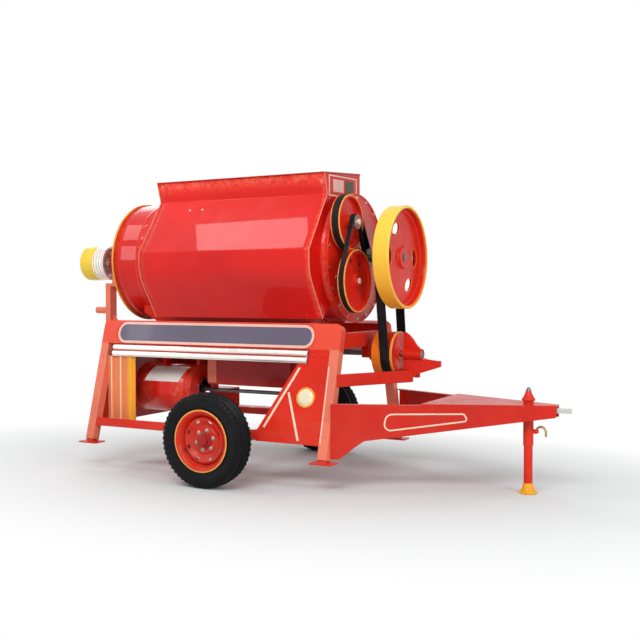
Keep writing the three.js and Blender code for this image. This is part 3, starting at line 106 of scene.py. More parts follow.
def noise(tree, scale, detail=4, rough=0.55, stretch=None):
    source = place_on(tree)
    if stretch:
        mapping = node(tree, "ShaderNodeMapping", Scale=stretch)
        link(source, mapping.inputs["Vector"])
        source = mapping.outputs["Vector"]
    texture = node(tree, "ShaderNodeTexNoise", Scale=scale, Detail=detail, Roughness=rough)
    link(source, texture.inputs["Vector"])
    return texture.outputs["Fac"]


def ramp(tree, source, stops):
    made = node(tree, "ShaderNodeValToRGB")
    elements = made.color_ramp.elements
    while len(elements) < len(stops):
        elements.new(0.5)
    for element, (at, colour) in zip(elements, stops):
        element.position = at
        element.color = (*colour, 1) if len(colour) == 3 else colour
    link(source, made.inputs["Fac"])
    return made.outputs["Color"]


def span(tree, source, low, high, a=0.0, b=1.0):
    made = node(tree, "ShaderNodeMapRange")
    adjust(made, {"From Min": low, "From Max": high, "To Min": a, "To Max": b})
    link(source, made.inputs["Value"])
    return made.outputs["Result"]


def mixed(tree, factor, first, second):
    made = node(tree, "ShaderNodeMix", data_type="RGBA")
    link(factor, made.inputs[0])
    for socket, value in ((made.inputs[6], first), (made.inputs[7], second)):
        if isinstance(value, tuple):
            socket.default_value = (*value, 1)
        else:
            link(value, socket)
    return made.outputs[2]


def bump(tree, shader, height, strength, distance, under=None):
    made = node(tree, "ShaderNodeBump", Strength=strength, Distance=distance)
    link(height, made.inputs["Height"])
    if under is not None:
        link(under, made.inputs["Normal"])
    link(made.outputs["Normal"], shader.inputs["Normal"])
    return made.outputs["Normal"]


def height_mask(tree, low, high):
    parts = node(tree, "ShaderNodeSeparateXYZ")
    link(place_on(tree), parts.inputs["Vector"])
    return span(tree, parts.outputs["Z"], low, high, 1.0, 0.0)


def product(tree, first, second):
    made = node(tree, "ShaderNodeMath", operation="MULTIPLY")
    link(first, made.inputs[0])
    if isinstance(second, float):
        made.inputs[1].default_value = second
    else:
        link(second, made.inputs[1])
    return made.outputs[0]


def edge_mask(tree, radius):
    soft = node(tree, "ShaderNodeBevel", samples=4, Radius=radius)
    true = node(tree, "ShaderNodeNewGeometry")
    dot = node(tree, "ShaderNodeVectorMath", operation="DOT_PRODUCT")
    link(soft.outputs["Normal"], dot.inputs[0])
    link(true.outputs["True Normal"], dot.inputs[1])
    return span(tree, dot.outputs["Value"], 0.97, 0.80)


def paint(name, colour, edge, dust=0.2, rough=0.30, coat=0.05, waves=0.0012, edge_wear_and_sheen=0.5, gloss=0.08,
          lower=None):
    """Painted steel: uneven colour, edges paler (partly rubbed wear, partly a painted highlight), painted
    shade in the lower colour low down when one is given, dust near the ground.
    """
    material, tree, shader = nodes_of(name)
    dark = tuple(c * 0.86 for c in colour)
    light = tuple(min(1, c * 1.08) for c in colour)
    shade = ramp(tree, noise(tree, 1.7, 3), [(0.3, dark), (0.7, light)])
    # painted shade: below these heights the colour turns to the given lower colour
    if lower:
        shade = mixed(tree, height_mask(tree, 1.48, 2.04), shade, lower)
    # paler edges: partly rubbed wear, partly a painted highlight along every edge
    rubbed_and_highlit = product(tree, edge_mask(tree, 0.006), span(tree, noise(tree, 26, 5, 0.7), 0.42, 0.62, 0.15, 1.0))
    shade = mixed(tree, product(tree, rubbed_and_highlit, edge_wear_and_sheen), shade, edge)
    low = product(tree, height_mask(tree, 0.15, 0.95), span(tree, noise(tree, 9, 8, 0.65), 0.35, 0.75))
    dirt = product(tree, low, dust)
    shade = mixed(tree, dirt, shade, (0.33, 0.17, 0.11))
    link(shade, shader.inputs["Base Color"])
    roughness = span(tree, noise(tree, 6, 6), 0.3, 0.7, rough * 0.8, rough * 1.3)
    link(roughness, shader.inputs["Roughness"])
    adjust(shader, {"Coat Weight": coat, "Coat Roughness": gloss, "Specular IOR Level": 0.16})
    skin = bump(tree, shader, noise(tree, 420, 2), 0.08, 0.0004)
    if waves:
        bump(tree, shader, noise(tree, 2.6, 2, 0.4), 0.55, waves * 8, skin)
    return material


def metal(name, colour, rough, scale=180, stretch=(1, 1, 1), metallic=1.0, streak=0.35):
    material, tree, shader = nodes_of(name)
    grain = noise(tree, scale, 5, 0.6, stretch)
    shade = ramp(tree, grain, [(0.25, tuple(c * (1 - streak) for c in colour)), (0.75, colour)])
    stain = span(tree, noise(tree, 7, 7, 0.7), 0.55, 0.75, 0.0, 0.45)
    shade = mixed(tree, stain, shade, tuple(c * 0.45 for c in colour))
    link(shade, shader.inputs["Base Color"])
    link(span(tree, noise(tree, 11, 6), 0.3, 0.7, rough * 0.75, rough * 1.35), shader.inputs["Roughness"])
    shader.inputs["Metallic"].default_value = metallic
    bump(tree, shader, grain, 0.12, 0.0005)
    return material


def rubber(name, colour, rough, dust):
    material, tree, shader = nodes_of(name)
    shade = ramp(tree, noise(tree, 14, 7, 0.7), [(0.3, colour), (0.75, tuple(c * 1.9 for c in colour))])
    low = product(tree, span(tree, noise(tree, 8, 8, 0.7), 0.4, 0.8), dust)
    shade = mixed(tree, low, shade, (0.16, 0.13, 0.11))
    link(shade, shader.inputs["Base Color"])
    roughness = span(tree, noise(tree, 30, 5), 0.3, 0.7, rough * 0.85, min(1, rough * 1.15))
    link(roughness, shader.inputs["Roughness"])
    shader.inputs["Specular IOR Level"].default_value = 0.12
    bump(tree, shader, noise(tree, 260, 3), 0.25, 0.0006)
    return material


RED = paint("red_paint", (0.72, 0.021, 0.008), (0.90, 0.17, 0.07), dust=0.35)
SHEET_RED = paint("sheet_red_paint", (0.68, 0.008, 0.005), (0.90, 0.17, 0.08), rough=0.4, coat=0.30,
                  waves=0.0030, gloss=0.03)
# painted shade: a darker copy of the red, for parts seen in shade under, behind or between others and for
# dark lines along edges and seams
SHADED_RED = paint("deep_red_paint", (0.42, 0.010, 0.010), (0.62, 0.08, 0.04), dust=0.35, coat=0.2)
BAR_RED = paint("bar_red_paint", (0.61, 0.019, 0.010), (0.90, 0.22, 0.11))
# painted light: a paler copy of the red for faces that catch the light: the legs, their welds and bolts, the
# sieve's corner post, the bearing stand and the hood's edge beads
LIT_RED = paint("lit_red_paint", (0.84, 0.205, 0.125), (0.96, 0.45, 0.30))
# painted light: a paler red for the lit near side beam, while the far beam keeps the plain red
LIT_BEAM_RED = paint("lit_beam_red_paint", (0.84, 0.085, 0.045), (0.96, 0.36, 0.20))
YELLOW = paint("yellow_paint", (0.98, 0.66, 0.07), (1.0, 0.80, 0.26))
# painted shade: the flywheel's tread turns from yellow to a darker orange towards the bottom
TREAD = paint("flywheel_tread_paint", (1.0, 0.70, 0.08), (1.0, 0.82, 0.28), lower=(0.93, 0.42, 0.03))
AMBER = paint("amber_paint", (0.93, 0.40, 0.015), (1.0, 0.60, 0.10))
ORANGE = paint("orange_paint", (0.90, 0.20, 0.014), (0.98, 0.42, 0.06))
RIB_RED = paint("rib_red_paint", (0.86, 0.26, 0.10), (0.98, 0.46, 0.26))
RING = paint("ring_paint", (0.93, 0.38, 0.05), (1.0, 0.60, 0.22), dust=0.1)
CREAM = paint("cream_stripe_paint", (0.92, 0.68, 0.50), (0.96, 0.80, 0.62), waves=0)
PINK = paint("pale_outline_paint", (0.90, 0.55, 0.46), (0.96, 0.76, 0.64), waves=0)
SLATE = paint("slate_panel_paint", (0.140, 0.125, 0.175), (0.24, 0.22, 0.28), rough=0.35, coat=0.15, edge_wear_and_sheen=0.2)
BLANK = paint("blank_plate_paint", (0.76, 0.72, 0.68), (0.85, 0.83, 0.80), waves=0, edge_wear_and_sheen=0.2)
CHROME = metal("polished_strip", (0.97, 0.93, 0.88), 0.20, 60, (0.2, 6, 6), metallic=0.7, streak=0.05)
STEEL = metal("turned_steel", (0.68, 0.68, 0.66), 0.27, 140, (12, 1, 1), metallic=0.9, streak=0.2)
DARK = metal("oiled_steel", (0.20, 0.20, 0.21), 0.42, 120, metallic=0.85)
ZINC = metal("zinc_bolts", (0.58, 0.57, 0.53), 0.32, 90)
BRASS = metal("brass_hook", (0.55, 0.42, 0.14), 0.33, 90)
BELT = rubber("belt_rubber", (0.005, 0.005, 0.006), 0.5, 0.08)
TYRE = rubber("tyre_rubber", (0.004, 0.004, 0.005), 0.42, 0.05)
HUBBLACK = rubber("grease_black", (0.02, 0.018, 0.016), 0.4, 0.2)
OLIVE = paint("dark_patch_paint", (0.07, 0.075, 0.035), (0.16, 0.15, 0.08), dust=0.1, waves=0)

LENS, lens_tree, lens_shader = nodes_of("reflector_lens")
facets = node(lens_tree, "ShaderNodeTexVoronoi", Scale=120)
link(place_on(lens_tree), facets.inputs["Vector"])
amber = ramp(lens_tree, facets.outputs["Distance"], [(0.1, (0.86, 0.84, 0.60)), (0.8, (0.78, 0.66, 0.40))])
link(amber, lens_shader.inputs["Base Color"])
adjust(lens_shader, {"Roughness": 0.12, "Coat Weight": 1.0})
bump(lens_tree, lens_shader, facets.outputs["Distance"], 0.5, 0.002)


# Mesh helpers
def placed(name, data):
    made = bpy.data.objects.new(name, data)
    scene.collection.objects.link(made)
    return made


def piece_of(name, verts, faces, material, smooth=35):
    mesh = bpy.data.meshes.new(name)
    mesh.from_pydata([tuple(v) for v in verts], [], [tuple(f) for f in faces])
    mesh.materials.append(material)
    return clean(placed(name, mesh), smooth)


def clean(made, smooth=35, dissolve=False):
    work = bmesh.new()
    work.from_mesh(made.data)
    bmesh.ops.remove_doubles(work, verts=work.verts, dist=1e-5)
    if dissolve:
        bmesh.ops.dissolve_limit(work, angle_limit=math.radians(0.6), verts=work.verts, edges=work.edges)
    bmesh.ops.recalc_face_normals(work, faces=work.faces)
    work.to_mesh(made.data)
    work.free()
    for face in made.data.polygons:
        face.use_smooth = True
    made.data.set_sharp_from_angle(angle=math.radians(smooth))
    return made


def bevelled(made, width, segments=2, angle=35):
    edge = made.modifiers.new("edge", "BEVEL")
    edge.width = width
    edge.segments = segments
    edge.limit_method = "ANGLE"
    edge.angle_limit = math.radians(angle)
    edge.harden_normals = True
    return made


def settle(made, body, slot, *nodes):
    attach(made, body)
    if nodes:
        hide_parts(*nodes)
    return made


def thickened(made, thickness, offset):
    sheet = made.modifiers.new("sheet", "SOLIDIFY")
    sheet.thickness = thickness
    sheet.offset = offset
    return made


def put(name, shape, material, smooth=35, body="frame", slot="red_paint", node_name=None, edge=None):
    """A new piece on its body; slot is not used; edge holds the arguments of bevelled."""
    made = piece_of(name, *shape, material, smooth)
    if edge:
        bevelled(made, *edge)
    return settle(made, body, slot, *([node_name] if node_name else []))


def dressed(name, material, body="frame", slot="red_paint", bevel=0.003, smooth=35):
    """A CAD node's own form with softened edges."""
    copy = placed(name + "_body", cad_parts[name].data.copy())
    copy.data.materials.clear()
    copy.data.materials.append(material)
    clean(copy, smooth, dissolve=True)
    if bevel:
        bevelled(copy, bevel)
    return settle(copy, body, slot, name)


def loft(sections, caps=True):
    """Faces between rings of points; every ring has the same number of points."""
    verts, faces = [], []
    count = len(sections[0])
    for ring in sections:
        verts.extend(ring)
    for i in range(len(sections) - 1):
        a, b = i * count, (i + 1) * count
        faces.extend((a + j, a + (j + 1) % count, b + (j + 1) % count, b + j) for j in range(count))
    if caps:
        faces.append(tuple(range(count))[::-1])
        faces.append(tuple(range((len(sections) - 1) * count, len(sections) * count)))
    return verts, faces


def turned(profile, centre, axis="X", sides=96):
    """A closed profile of (radius, along) turned about an axis through centre."""
    verts, faces = [], []
    for i in range(sides):
        angle = math.tau * i / sides
        c, s = math.cos(angle), math.sin(angle)
        for radius, along in profile:
            if axis == "X":
                point = (centre[0] + along, centre[1] + radius * c, centre[2] + radius * s)
            elif axis == "Y":
                point = (centre[0] + radius * c, centre[1] + along, centre[2] + radius * s)
            else:
                point = (centre[0] + radius * c, centre[1] + radius * s, centre[2] + along)
            verts.append(point)
    count = len(profile)
    for i in range(sides):
        a, b = i * count, ((i + 1) % sides) * count
        for j in range(count):
            k = (j + 1) % count
            faces.append((a + j, a + k, b + k, b + j))
    return verts, faces


def prism(points, place, low, high):
    """An outline drawn flat, pushed through from low to high; place maps (u, v, depth) to a point."""
    bottom = [place(u, v, low) for u, v in points]
    top = [place(u, v, high) for u, v in points]
    return loft([bottom, top])


def facing_x(u, v, d):
    return d, u, v


def facing_y(u, v, d):
    return u, d, v


def facing_z(u, v, d):
    return u, v, d


def spun(profile, centre, sides):
    """A profile of (radius, X from the axle) turned about a shaft line at (Y, Z)."""
    return turned(profile, (AXLE, *centre), "X", sides)


def circle(radius, sides, across=0.0, up=0.0, start=0):
    """Points round a circle in a plane; start counts in steps of the circle."""
    angles = [math.tau * (k + start) / sides for k in range(sides)]
    return [(across + radius * math.cos(a), up + radius * math.sin(a)) for a in angles]


def oblong(x0, x1, y0, y1):
    return [(x0, y0), (x1, y0), (x1, y1), (x0, y1)]


def block(x0, x1, y0, y1, z0, z1):
    return prism(oblong(x0, x1, y0, y1), facing_z, z0, z1)


def joined(*shapes):
    verts, faces = [], []
    for some_verts, some_faces in shapes:
        faces.extend(tuple(i + len(verts) for i in face) for face in some_faces)
        verts.extend(some_verts)
    return verts, faces


def turning(centre, angle, axis):
    """Turns a shape drawn round the origin and carries it to a centre."""
    return Matrix.Translation(centre) @ Matrix.Rotation(angle, 4, axis)


def moved(shape, matrix):
    verts, faces = shape
    return [matrix @ Vector(v) for v in verts], faces


def tube(path, radius, sides=16, closed=False, taper=None):
    """A round rod along a path of points."""
    points = [Vector(p) for p in path]
    count = len(points)
    rings = []
    up = Vector((0, 0, 1))
    side = None
    for i, point in enumerate(points):
        before = points[i - 1] if i or closed else point
        after = points[(i + 1) % count] if i < count - 1 or closed else point
        along = (after - before).normalized()
        if side is None:
            side = along.cross(up) if abs(along.dot(up)) < 0.9 else along.cross(Vector((1, 0, 0)))
        side = (side - along * side.dot(along)).normalized()
        other = along.cross(side)
        r = radius * (taper(i / (count - 1)) if taper else 1)
        rings.append([point + side * a + other * b for a, b in circle(r, sides)])
    if closed:
        rings.append(rings[0])
    return loft(rings, caps=not closed)


def rounded(points, radius, steps=6):
    """Corners of a flat outline replaced by arcs; radius is one number or one per corner."""
    made = []
    count = len(points)
    for i in range(count):
        a, b, c = (Vector(points[(i + k) % count]) for k in (-1, 0, 1))
        r = radius[i] if isinstance(radius, (list, tuple)) else radius
        u, v = (a - b).normalized(), (c - b).normalized()
        half = math.acos(max(-1, min(1, u.dot(v)))) / 2
        if r <= 0 or half > math.pi / 2 - 0.02:
            made.append(tuple(b))
            continue
        reach = min(r / math.tan(half), (a - b).length * 0.49, (c - b).length * 0.49)
        real = reach * math.tan(half)
        centre = b + (u + v).normalized() * (real / math.sin(half))
        first, last = b + u * reach - centre, b + v * reach - centre
        turn = math.atan2(first.x * last.y - first.y * last.x, first.dot(last))
        for k in range(steps + 1):
            angle = turn * k / steps
            c1, s1 = math.cos(angle), math.sin(angle)
            made.append((centre.x + first.x * c1 - first.y * s1, centre.y + first.x * s1 + first.y * c1))
    return made


def stripe(points, width, place, low, high, closed=True):
    """A flat painted line that follows points, drawn as a thin raised band."""
    count = len(points)
    inner, outer = [], []
    for i in range(count):
        b = Vector(points[i])
        a = Vector(points[i - 1]) if i or closed else b - (Vector(points[1]) - b)
        c = Vector(points[(i + 1) % count]) if i < count - 1 or closed else b + (b - Vector(points[i - 1]))
        along = ((b - a).normalized() + (c - b).normalized()).normalized()
        normal = Vector((-along.y, along.x)) * (width / 2)
        inner.append(b - normal)
        outer.append(b + normal)
    rings = [[place(*inner[i], low), place(*outer[i], low), place(*outer[i], high), place(*inner[i], high)]
             for i in range(count)]
    if closed:
        rings.append(rings[0])
    return loft(rings, caps=not closed)


def carve(made, cutters, smooth=35):
    """Holes cut through a piece, applied to its mesh."""
    tool = piece_of("cutter", *joined(*cutters), RED)
    cut = made.modifiers.new("cut", "BOOLEAN")
    cut.operation = "DIFFERENCE"
    cut.solver = "EXACT"
    cut.object = tool
    evaluated = made.evaluated_get(bpy.context.evaluated_depsgraph_get())
    mesh = bpy.data.meshes.new_from_object(evaluated)
    made.modifiers.remove(cut)
    made.data = mesh
    bpy.data.objects.remove(tool)
    return clean(made, smooth)


def bolt(at, direction, size=0.012, washer=True, length=0.0):
    """A hexagon head with a washer, standing on a face at a point."""
    z = Vector(direction).normalized()
    x = z.orthogonal().normalized()
    y = z.cross(x)
    turn = random.uniform(0, math.tau / 6)

    def ring(radius, lift, sides, twist=0.0):
        angles = [math.tau * k / sides + twist for k in range(sides)]
        centre = Vector(at) + z * lift
        return [centre + x * (radius * math.cos(a)) + y * (radius * math.sin(a)) for a in angles]

    shapes = []
    base = 0.0
    if washer:
        shapes.append(loft([ring(size * 1.35, -0.001, 24), ring(size * 1.35, size * 0.16,
                    24), ring(size * 1.2, size * 0.22, 24)]))
        base = size * 0.2
    shapes.append(loft([ring(size, base, 6, turn), ring(size, base + size * 0.62, 6, turn),
                        ring(size * 0.86, base + size * 0.74, 6, turn)]))
    if length:
        shapes.append(loft([ring(size * 0.5, base, 12), ring(size * 0.5, base + length,
                    12), ring(size * 0.4, base + length + size * 0.1, 12)]))
    return joined(*shapes)


def fixings(name, spots, size, material=ZINC, body="frame", length=0.0):
    shapes = [bolt(at, direction, size, True, length) for at, direction in spots]
    return put(name, joined(*shapes), material, 30, body, "worked_steel")


def ax(x):
    """X counted from the wheel axle, as X in the shared frame."""
    return x + AXLE


def ring_of_spots(x, radius, count, centre, way):
    """Bolt places round a shaft line, facing back or forward along X."""
    return [((ax(x), y, z), (way, 0, 0)) for y, z in circle(radius, count, *centre, start=0.5)]


def lean(side):
    """Maps (x, up the slope, outwards) on a side frame to a point."""
    sign = -1 if side == "near" else 1

    def place(x, v, w=0.0):
        return (ax(x), sign * (FOOT_Y - v * SIN + w * COS), FOOT_Z + v * COS + w * SIN)

    return place


def climb(z):
    """The distance up a side frame's slope at a height."""
    return (z - FOOT_Z) / COS


# Road wheels
def wheel(side):
    sign = -1 if side == "near" else 1
    centre = (AXLE, sign * 0.945, 0.365)
    body = side + "_wheel"

    def part(name, profile, sides, *rest):
        shape = turned([(r, sign * o) for r, o in profile], centre, "Y", sides)
        put(f"{side}_{name}", shape, *rest)

    tread = [(0.356, 0.072)]
    for middle in (0.044, 0.015, -0.015, -0.044):
        crown = 0.3655 - 3.2 * (middle * middle)
        tread += [(crown, middle + 0.0125), (crown - 0.010, middle + 0.0065),
                  (crown - 0.010, middle - 0.0065), (crown, middle - 0.0125)]
    tread += [(0.356, -0.072)]
    flank = [(0.345, 0.081), (0.330, 0.0875), (0.3265, 0.0885), (0.3255, 0.0905), (0.3215, 0.0905),
             (0.3205, 0.0888), (0.300, 0.0890), (0.280, 0.0865), (0.262, 0.0815), (0.2605, 0.0835),
             (0.2565, 0.0825), (0.2555, 0.0795), (0.246, 0.0745), (0.238, 0.0745), (0.2165, 0.0720)]
    profile = tread + [(r, -o) for r, o in flank] + flank[::-1]
    part("tyre_rubber", profile, 144, TYRE, 28, body, "tyre_rubber", side + "_tyre")

    shapes = []
    count = 54
    for i in range(count):
        turn = turning(centre, math.tau * i / count, "Y")
        for face in (-1, 1):
            offset = 0 if face > 0 else math.pi / count
            twist = turning(centre, math.tau * i / count + offset, "Y")
            lug = loft([[(-w, face * 0.069, r), (w, face * 0.069, r), (w, face * o, r),
                         (-w, face * o, r)] for w, r, o in ((0.0112, 0.334, 0.0865),
                        (0.0105, 0.348, 0.0835), (0.0098, 0.3585, 0.0790))])
            shapes.append(moved(lug, twist))
            bar = loft([[(-0.0022, face * 0.086, r), (0.0022, face * 0.086, r), (0.0022, face * o, r),
                         (-0.0022, face * o, r)] for r, o in ((0.302, 0.0895), (0.317, 0.0900))])
            shapes.append(moved(bar, turn))
    put(side + "_tyre_lugs", joined(*shapes), TYRE, 30, body, "tyre_rubber", edge=(0.0015, 1))

    barrel = [(0.2155, -0.070), (0.2165, -0.0725), (0.233, -0.0765), (0.2385, -0.0800),
              (0.2375, -0.0835), (0.228, -0.0830), (0.213, -0.0775), (0.207, -0.066),
              (0.190, -0.040), (0.188, 0.000), (0.190, 0.038), (0.207, 0.066), (0.213, 0.0775),
              (0.228, 0.0830), (0.2375, 0.0835), (0.2385, 0.0800), (0.233, 0.0765),
              (0.2165, 0.0725), (0.2155, 0.070), (0.196, 0.042), (0.194, 0.0), (0.196, -0.042)]
    part("rim_barrel", barrel, 120, RED, 50, body, "red_paint", side + "_rim")
    disc = [(0.1885, 0.010), (0.184, 0.030), (0.172, 0.0415), (0.160, 0.0430), (0.146, 0.0350),
            (0.128, 0.0170), (0.112, 0.0105), (0.105, 0.0130), (0.098, 0.0205), (0.040, 0.0205),
            (0.040, 0.0125), (0.098, 0.0125), (0.112, 0.0025), (0.130, 0.0085), (0.148, 0.0265),
            (0.160, 0.0345), (0.172, 0.0330), (0.179, 0.0240), (0.184, 0.004)]
    disc = [(r, sign * o) for r, o in disc]
    face = piece_of(side + "_wheel_disc", *turned(disc, centre, "Y", 120), RED, 50)
    slots = []
    for i in range(8):
        angle = math.tau * (i + 0.5) / 8
        turn = turning(centre, angle, "Y")
        oval = [(0.019 * a, 0.150 + 0.0095 * b) for a, b in circle(1, 24)]
        hole = prism(oval, facing_y, 0.0, sign * 0.09)
        slots.append(moved(hole, turn))
    carve(face, slots, 50)
    settle(bevelled(face, 0.0012, 2), body, "red_paint")
    outline = [(0.2392, 0.0802), (0.2402, 0.0828), (0.2380, 0.0850),
               (0.2300, 0.0846), (0.2296, 0.0830), (0.2375, 0.0836)]
    part("rim_line", outline, 120, RING, 60, body)
    hub = [(0.0245, -0.072), (0.052, -0.072), (0.056, -0.066), (0.056, -0.020),
           (0.046, -0.012), (0.046, 0.0125), (0.058, 0.0205), (0.058, 0.030),
           (0.050, 0.034), (0.0455, 0.036), (0.0445, 0.060), (0.0405, 0.0695),
           (0.030, 0.074), (0.012, 0.0765), (0.0, 0.077), (0.0, 0.070), (0.0245, 0.066)]
    part("wheel_hub", hub, 72, SHADED_RED, 40, body)
    spots = []
    for i in range(6):
        angle = math.tau * (i + 0.25) / 6
        at = Vector(centre) + Vector((0.078 * math.cos(angle), sign * 0.0205, 0.078 * math.sin(angle)))
        spots.append((at, (0, sign, 0)))
    fixings(side + "_wheel_nuts", spots, 0.0115, body=body, length=0.016)
    angle = math.radians(205)
    root = Vector(centre) + Vector((0.187 * math.cos(angle), sign * 0.045, 0.187 * math.sin(angle)))
    tip = root + Vector((-0.022 * math.cos(angle), sign * 0.034, -0.022 * math.sin(angle)))
    valve = tube([root, root.lerp(tip, 0.3), root.lerp(tip, 0.7), tip], 0.0042,
                 12, taper=lambda t: 1.5 if t < 0.5 else 1.0)
    put(side + "_tyre_valve", valve, HUBBLACK, 35, body, "tyre_rubber")


for which in ("near", "far"):
    wheel(which)

dressed("axle_beam", SHADED_RED, "frame", "deep_red_paint", 0.005)
caps = []
for sign in (-1, 1):
    for x in (-0.022, 0.022):
        for z in (0.300, 0.385):
            caps.append(((ax(x), sign * 0.8082, z), (0, -sign, 0)))
fixings("axle_plate_bolts", caps, 0.010)


# Leaning side frames
def side_frame(side):
    place = lean(side)
    sign = -1 if side == "near" else 1

    def name(part):
        return f"{side}_{part}"
    # painted light: the near side beam takes the paler lit red, the far one the plain red
    dressed(name("side_beam"), LIT_BEAM_RED if side == "near" else RED, bevel=0.006, smooth=30)
    dressed(name("rear_leg"), LIT_RED, bevel=0.008)
    dressed(name("front_leg"), LIT_RED, bevel=0.008)
    dressed(name("bottom_rail"), RED, bevel=0.005)
    dressed(name("gusset_plate"), RED, bevel=0.0015)
    for end in ("rear", "front"):
        body = f"{side}_{end}_slide"
        dressed(name(end + "_foot"), RED, body)

    # long rounded panel on the beam, its pale outline and a pressed step round it
    x0, x1, v0, v1 = -1.218, 0.672, 0.902, 1.044
    panel = rounded(oblong(x0, x1, v0, v1), 0.069, 16)
    put(name("slot_panel"), prism(panel, place, 0.0002, 0.0016), SLATE)
    rim = rounded(oblong(x0 - 0.011, x1 + 0.011, v0 - 0.011, v1 + 0.011), 0.078, 16)
    put(name("panel_outline"), stripe(rim, 0.021, place, 0.0, 0.0028), PINK)
    step = rounded(oblong(x0 - 0.032, x1 + 0.032, v0 - 0.026, v1 + 0.026), 0.090, 16)
    put(name("panel_step"), stripe(step, 0.004, place, 0.0, 0.0018), BAR_RED)

    # welds where the legs meet the beam
    beads = []
    v = climb(1.055) - 0.001
    for leg in LEGS:
        path = [place(leg + 0.0395 - 0.079 * k / 12, v +
                      0.0012 * math.sin(k * 2.4), -0.001) for k in range(13)]
        beads.append(tube(path, 0.0042, 8))
    put(name("leg_welds"), joined(*beads), LIT_RED)

    # polished double strip: two half-round beads on a flat back
    low, high = climb(0.948), climb(1.048)
    middle = (low + high) / 2
    half = (high - low) / 2
    section = [(low, 0.0), (low, 0.0035)]
    for centre in (middle - half * 0.52, middle + half * 0.52):
        section.append((centre - half * 0.40, 0.0045))
        section += [(centre - half * 0.40 * math.cos(math.pi * k / 12), 0.0045 +
                     0.0135 * math.sin(math.pi * k / 12)) for k in range(1, 12)]
        section.append((centre + half * 0.40, 0.0045))
    section += [(high, 0.0035), (high, 0.0)]
    rings = [[place(x, v, w) for v, w in section] for x in (-1.262, 0.655)]
    put(name("double_strip"), loft(rings), CHROME, 40, "frame",
        "polished_strip", name("trim_strip"), edge=(0.0012, 2, 60))

    seam = []
    for v0, v1 in ((middle - half * 0.10, middle + half * 0.10), (high - half * 0.07, high - half * 0.015)):
        ring = [[place(x, v, w) for v, w in ((v0, 0.0040), (v1, 0.0040), (v1, 0.0052), (v0, 0.0052))]
                for x in (-1.2600, 0.6530)]
        seam.append(loft(ring))
    put(name("strip_seams"), joined(*seam), SHADED_RED)

    # painted highlight: a pale line along the front leg's edge
    leg_edge_highlight = [(0.8512, climb(0.36)), (0.8512, climb(0.93))]
    put(name("leg_edge_highlight"), stripe(leg_edge_highlight, 0.011, place, -0.0002, 0.0009, closed=False), PINK)

    # upright panel with three round ribs; the cream lines on the crests are painted highlights
    x0 = -1.33 + 0.0003
    length, radius = 0.30, 0.017
    base = FOOT_Y - (0.948 - FOOT_Z) * math.tan(LEAN) - 0.0003 - radius
    section = [(x0, -0.005), (x0 + length, -0.005), (x0 + length, 0.0)]
    lines = []
    for i in (2, 1, 0):
        middle = x0 + length / 3 * (i + 0.5)
        section.append((middle + radius + 0.006, 0.0))
        section += [(middle + radius * math.cos(math.pi * k / 14), radius * math.sin(math.pi * k / 14))
                    for k in range(15)]
        section.append((middle - radius - 0.006, 0.0))
        crest = [(middle - 0.007, base + radius - 0.0012), (middle - 0.004, base + radius + 0.0004),
                 (middle + 0.004, base + radius + 0.0004), (middle + 0.007, base + radius - 0.0012)]
        lines.append(loft([[(ax(x), sign * y, z) for x, y in crest] for z in (0.404, 0.942)]))
    section.append((x0, 0.0))
    rings = [[(ax(x), sign * (base + w), z) for x, w in section] for z in (0.400, 0.94668)]
    put(name("rib_sheet"), loft(rings), RIB_RED, 40, "frame", "red_paint",
        name("rib_panel"), edge=(0.001, 2, 60))
    put(name("rib_crest_highlights"), joined(*lines), CREAM, 40)
    # painted sheen: an amber band over the front rib
    flat = x0 + length * 2 / 3 + 0.012
    first = x0 + length * 5 / 6
    skin = [(flat, 0.0)] + [(first - radius * math.cos(math.pi * k / 14), radius * math.sin(math.pi * k / 14))
                            for k in range(15)] + [(x0 + length - 0.008, 0.0)]
    outer = [(x, w + 0.0008) for x, w in skin]
    rings = [[(ax(x), sign * (base + w), z) for x, w in outer + skin[::-1]] for z in (0.404, 0.942)]
    put(name("rib_reflection_band"), loft(rings), AMBER, 40, "frame", "yellow_paint")
    back = [sign * (base - 0.0062), sign * (base - 0.0052)]
    plate = block(ax(x0), ax(x0 + length), min(back), max(back), 0.401, 0.9460)
    put(name("rib_backing"), plate, SHADED_RED)

    # painted lines, reflector and bolts on the gusset plate
    if side == "near":
        plate_marks(place)
    out = Vector(place(0, 0, 1)) - Vector(place(0, 0, 0))
    spots = []
    for leg, heights in zip(LEGS, ((0.50, 0.58, 0.86, 0.94), (0.42, 0.55))):
        spots += [(place(leg, climb(z), 0.0), out) for z in heights]
    fixings(name("leg_bolts"), spots, 0.010, LIT_RED)
    heights = (0.88, 0.50, 0.39) if side == "near" else (0.88,)
    spots = [(place(x, climb(1.012), GUSSET_FACE), out) for x in (0.705, 0.80)]
    spots += [(place(0.800, climb(z), GUSSET_FACE), out) for z in heights]
    fixings(name("gusset_bolts"), spots, 0.009, RED)


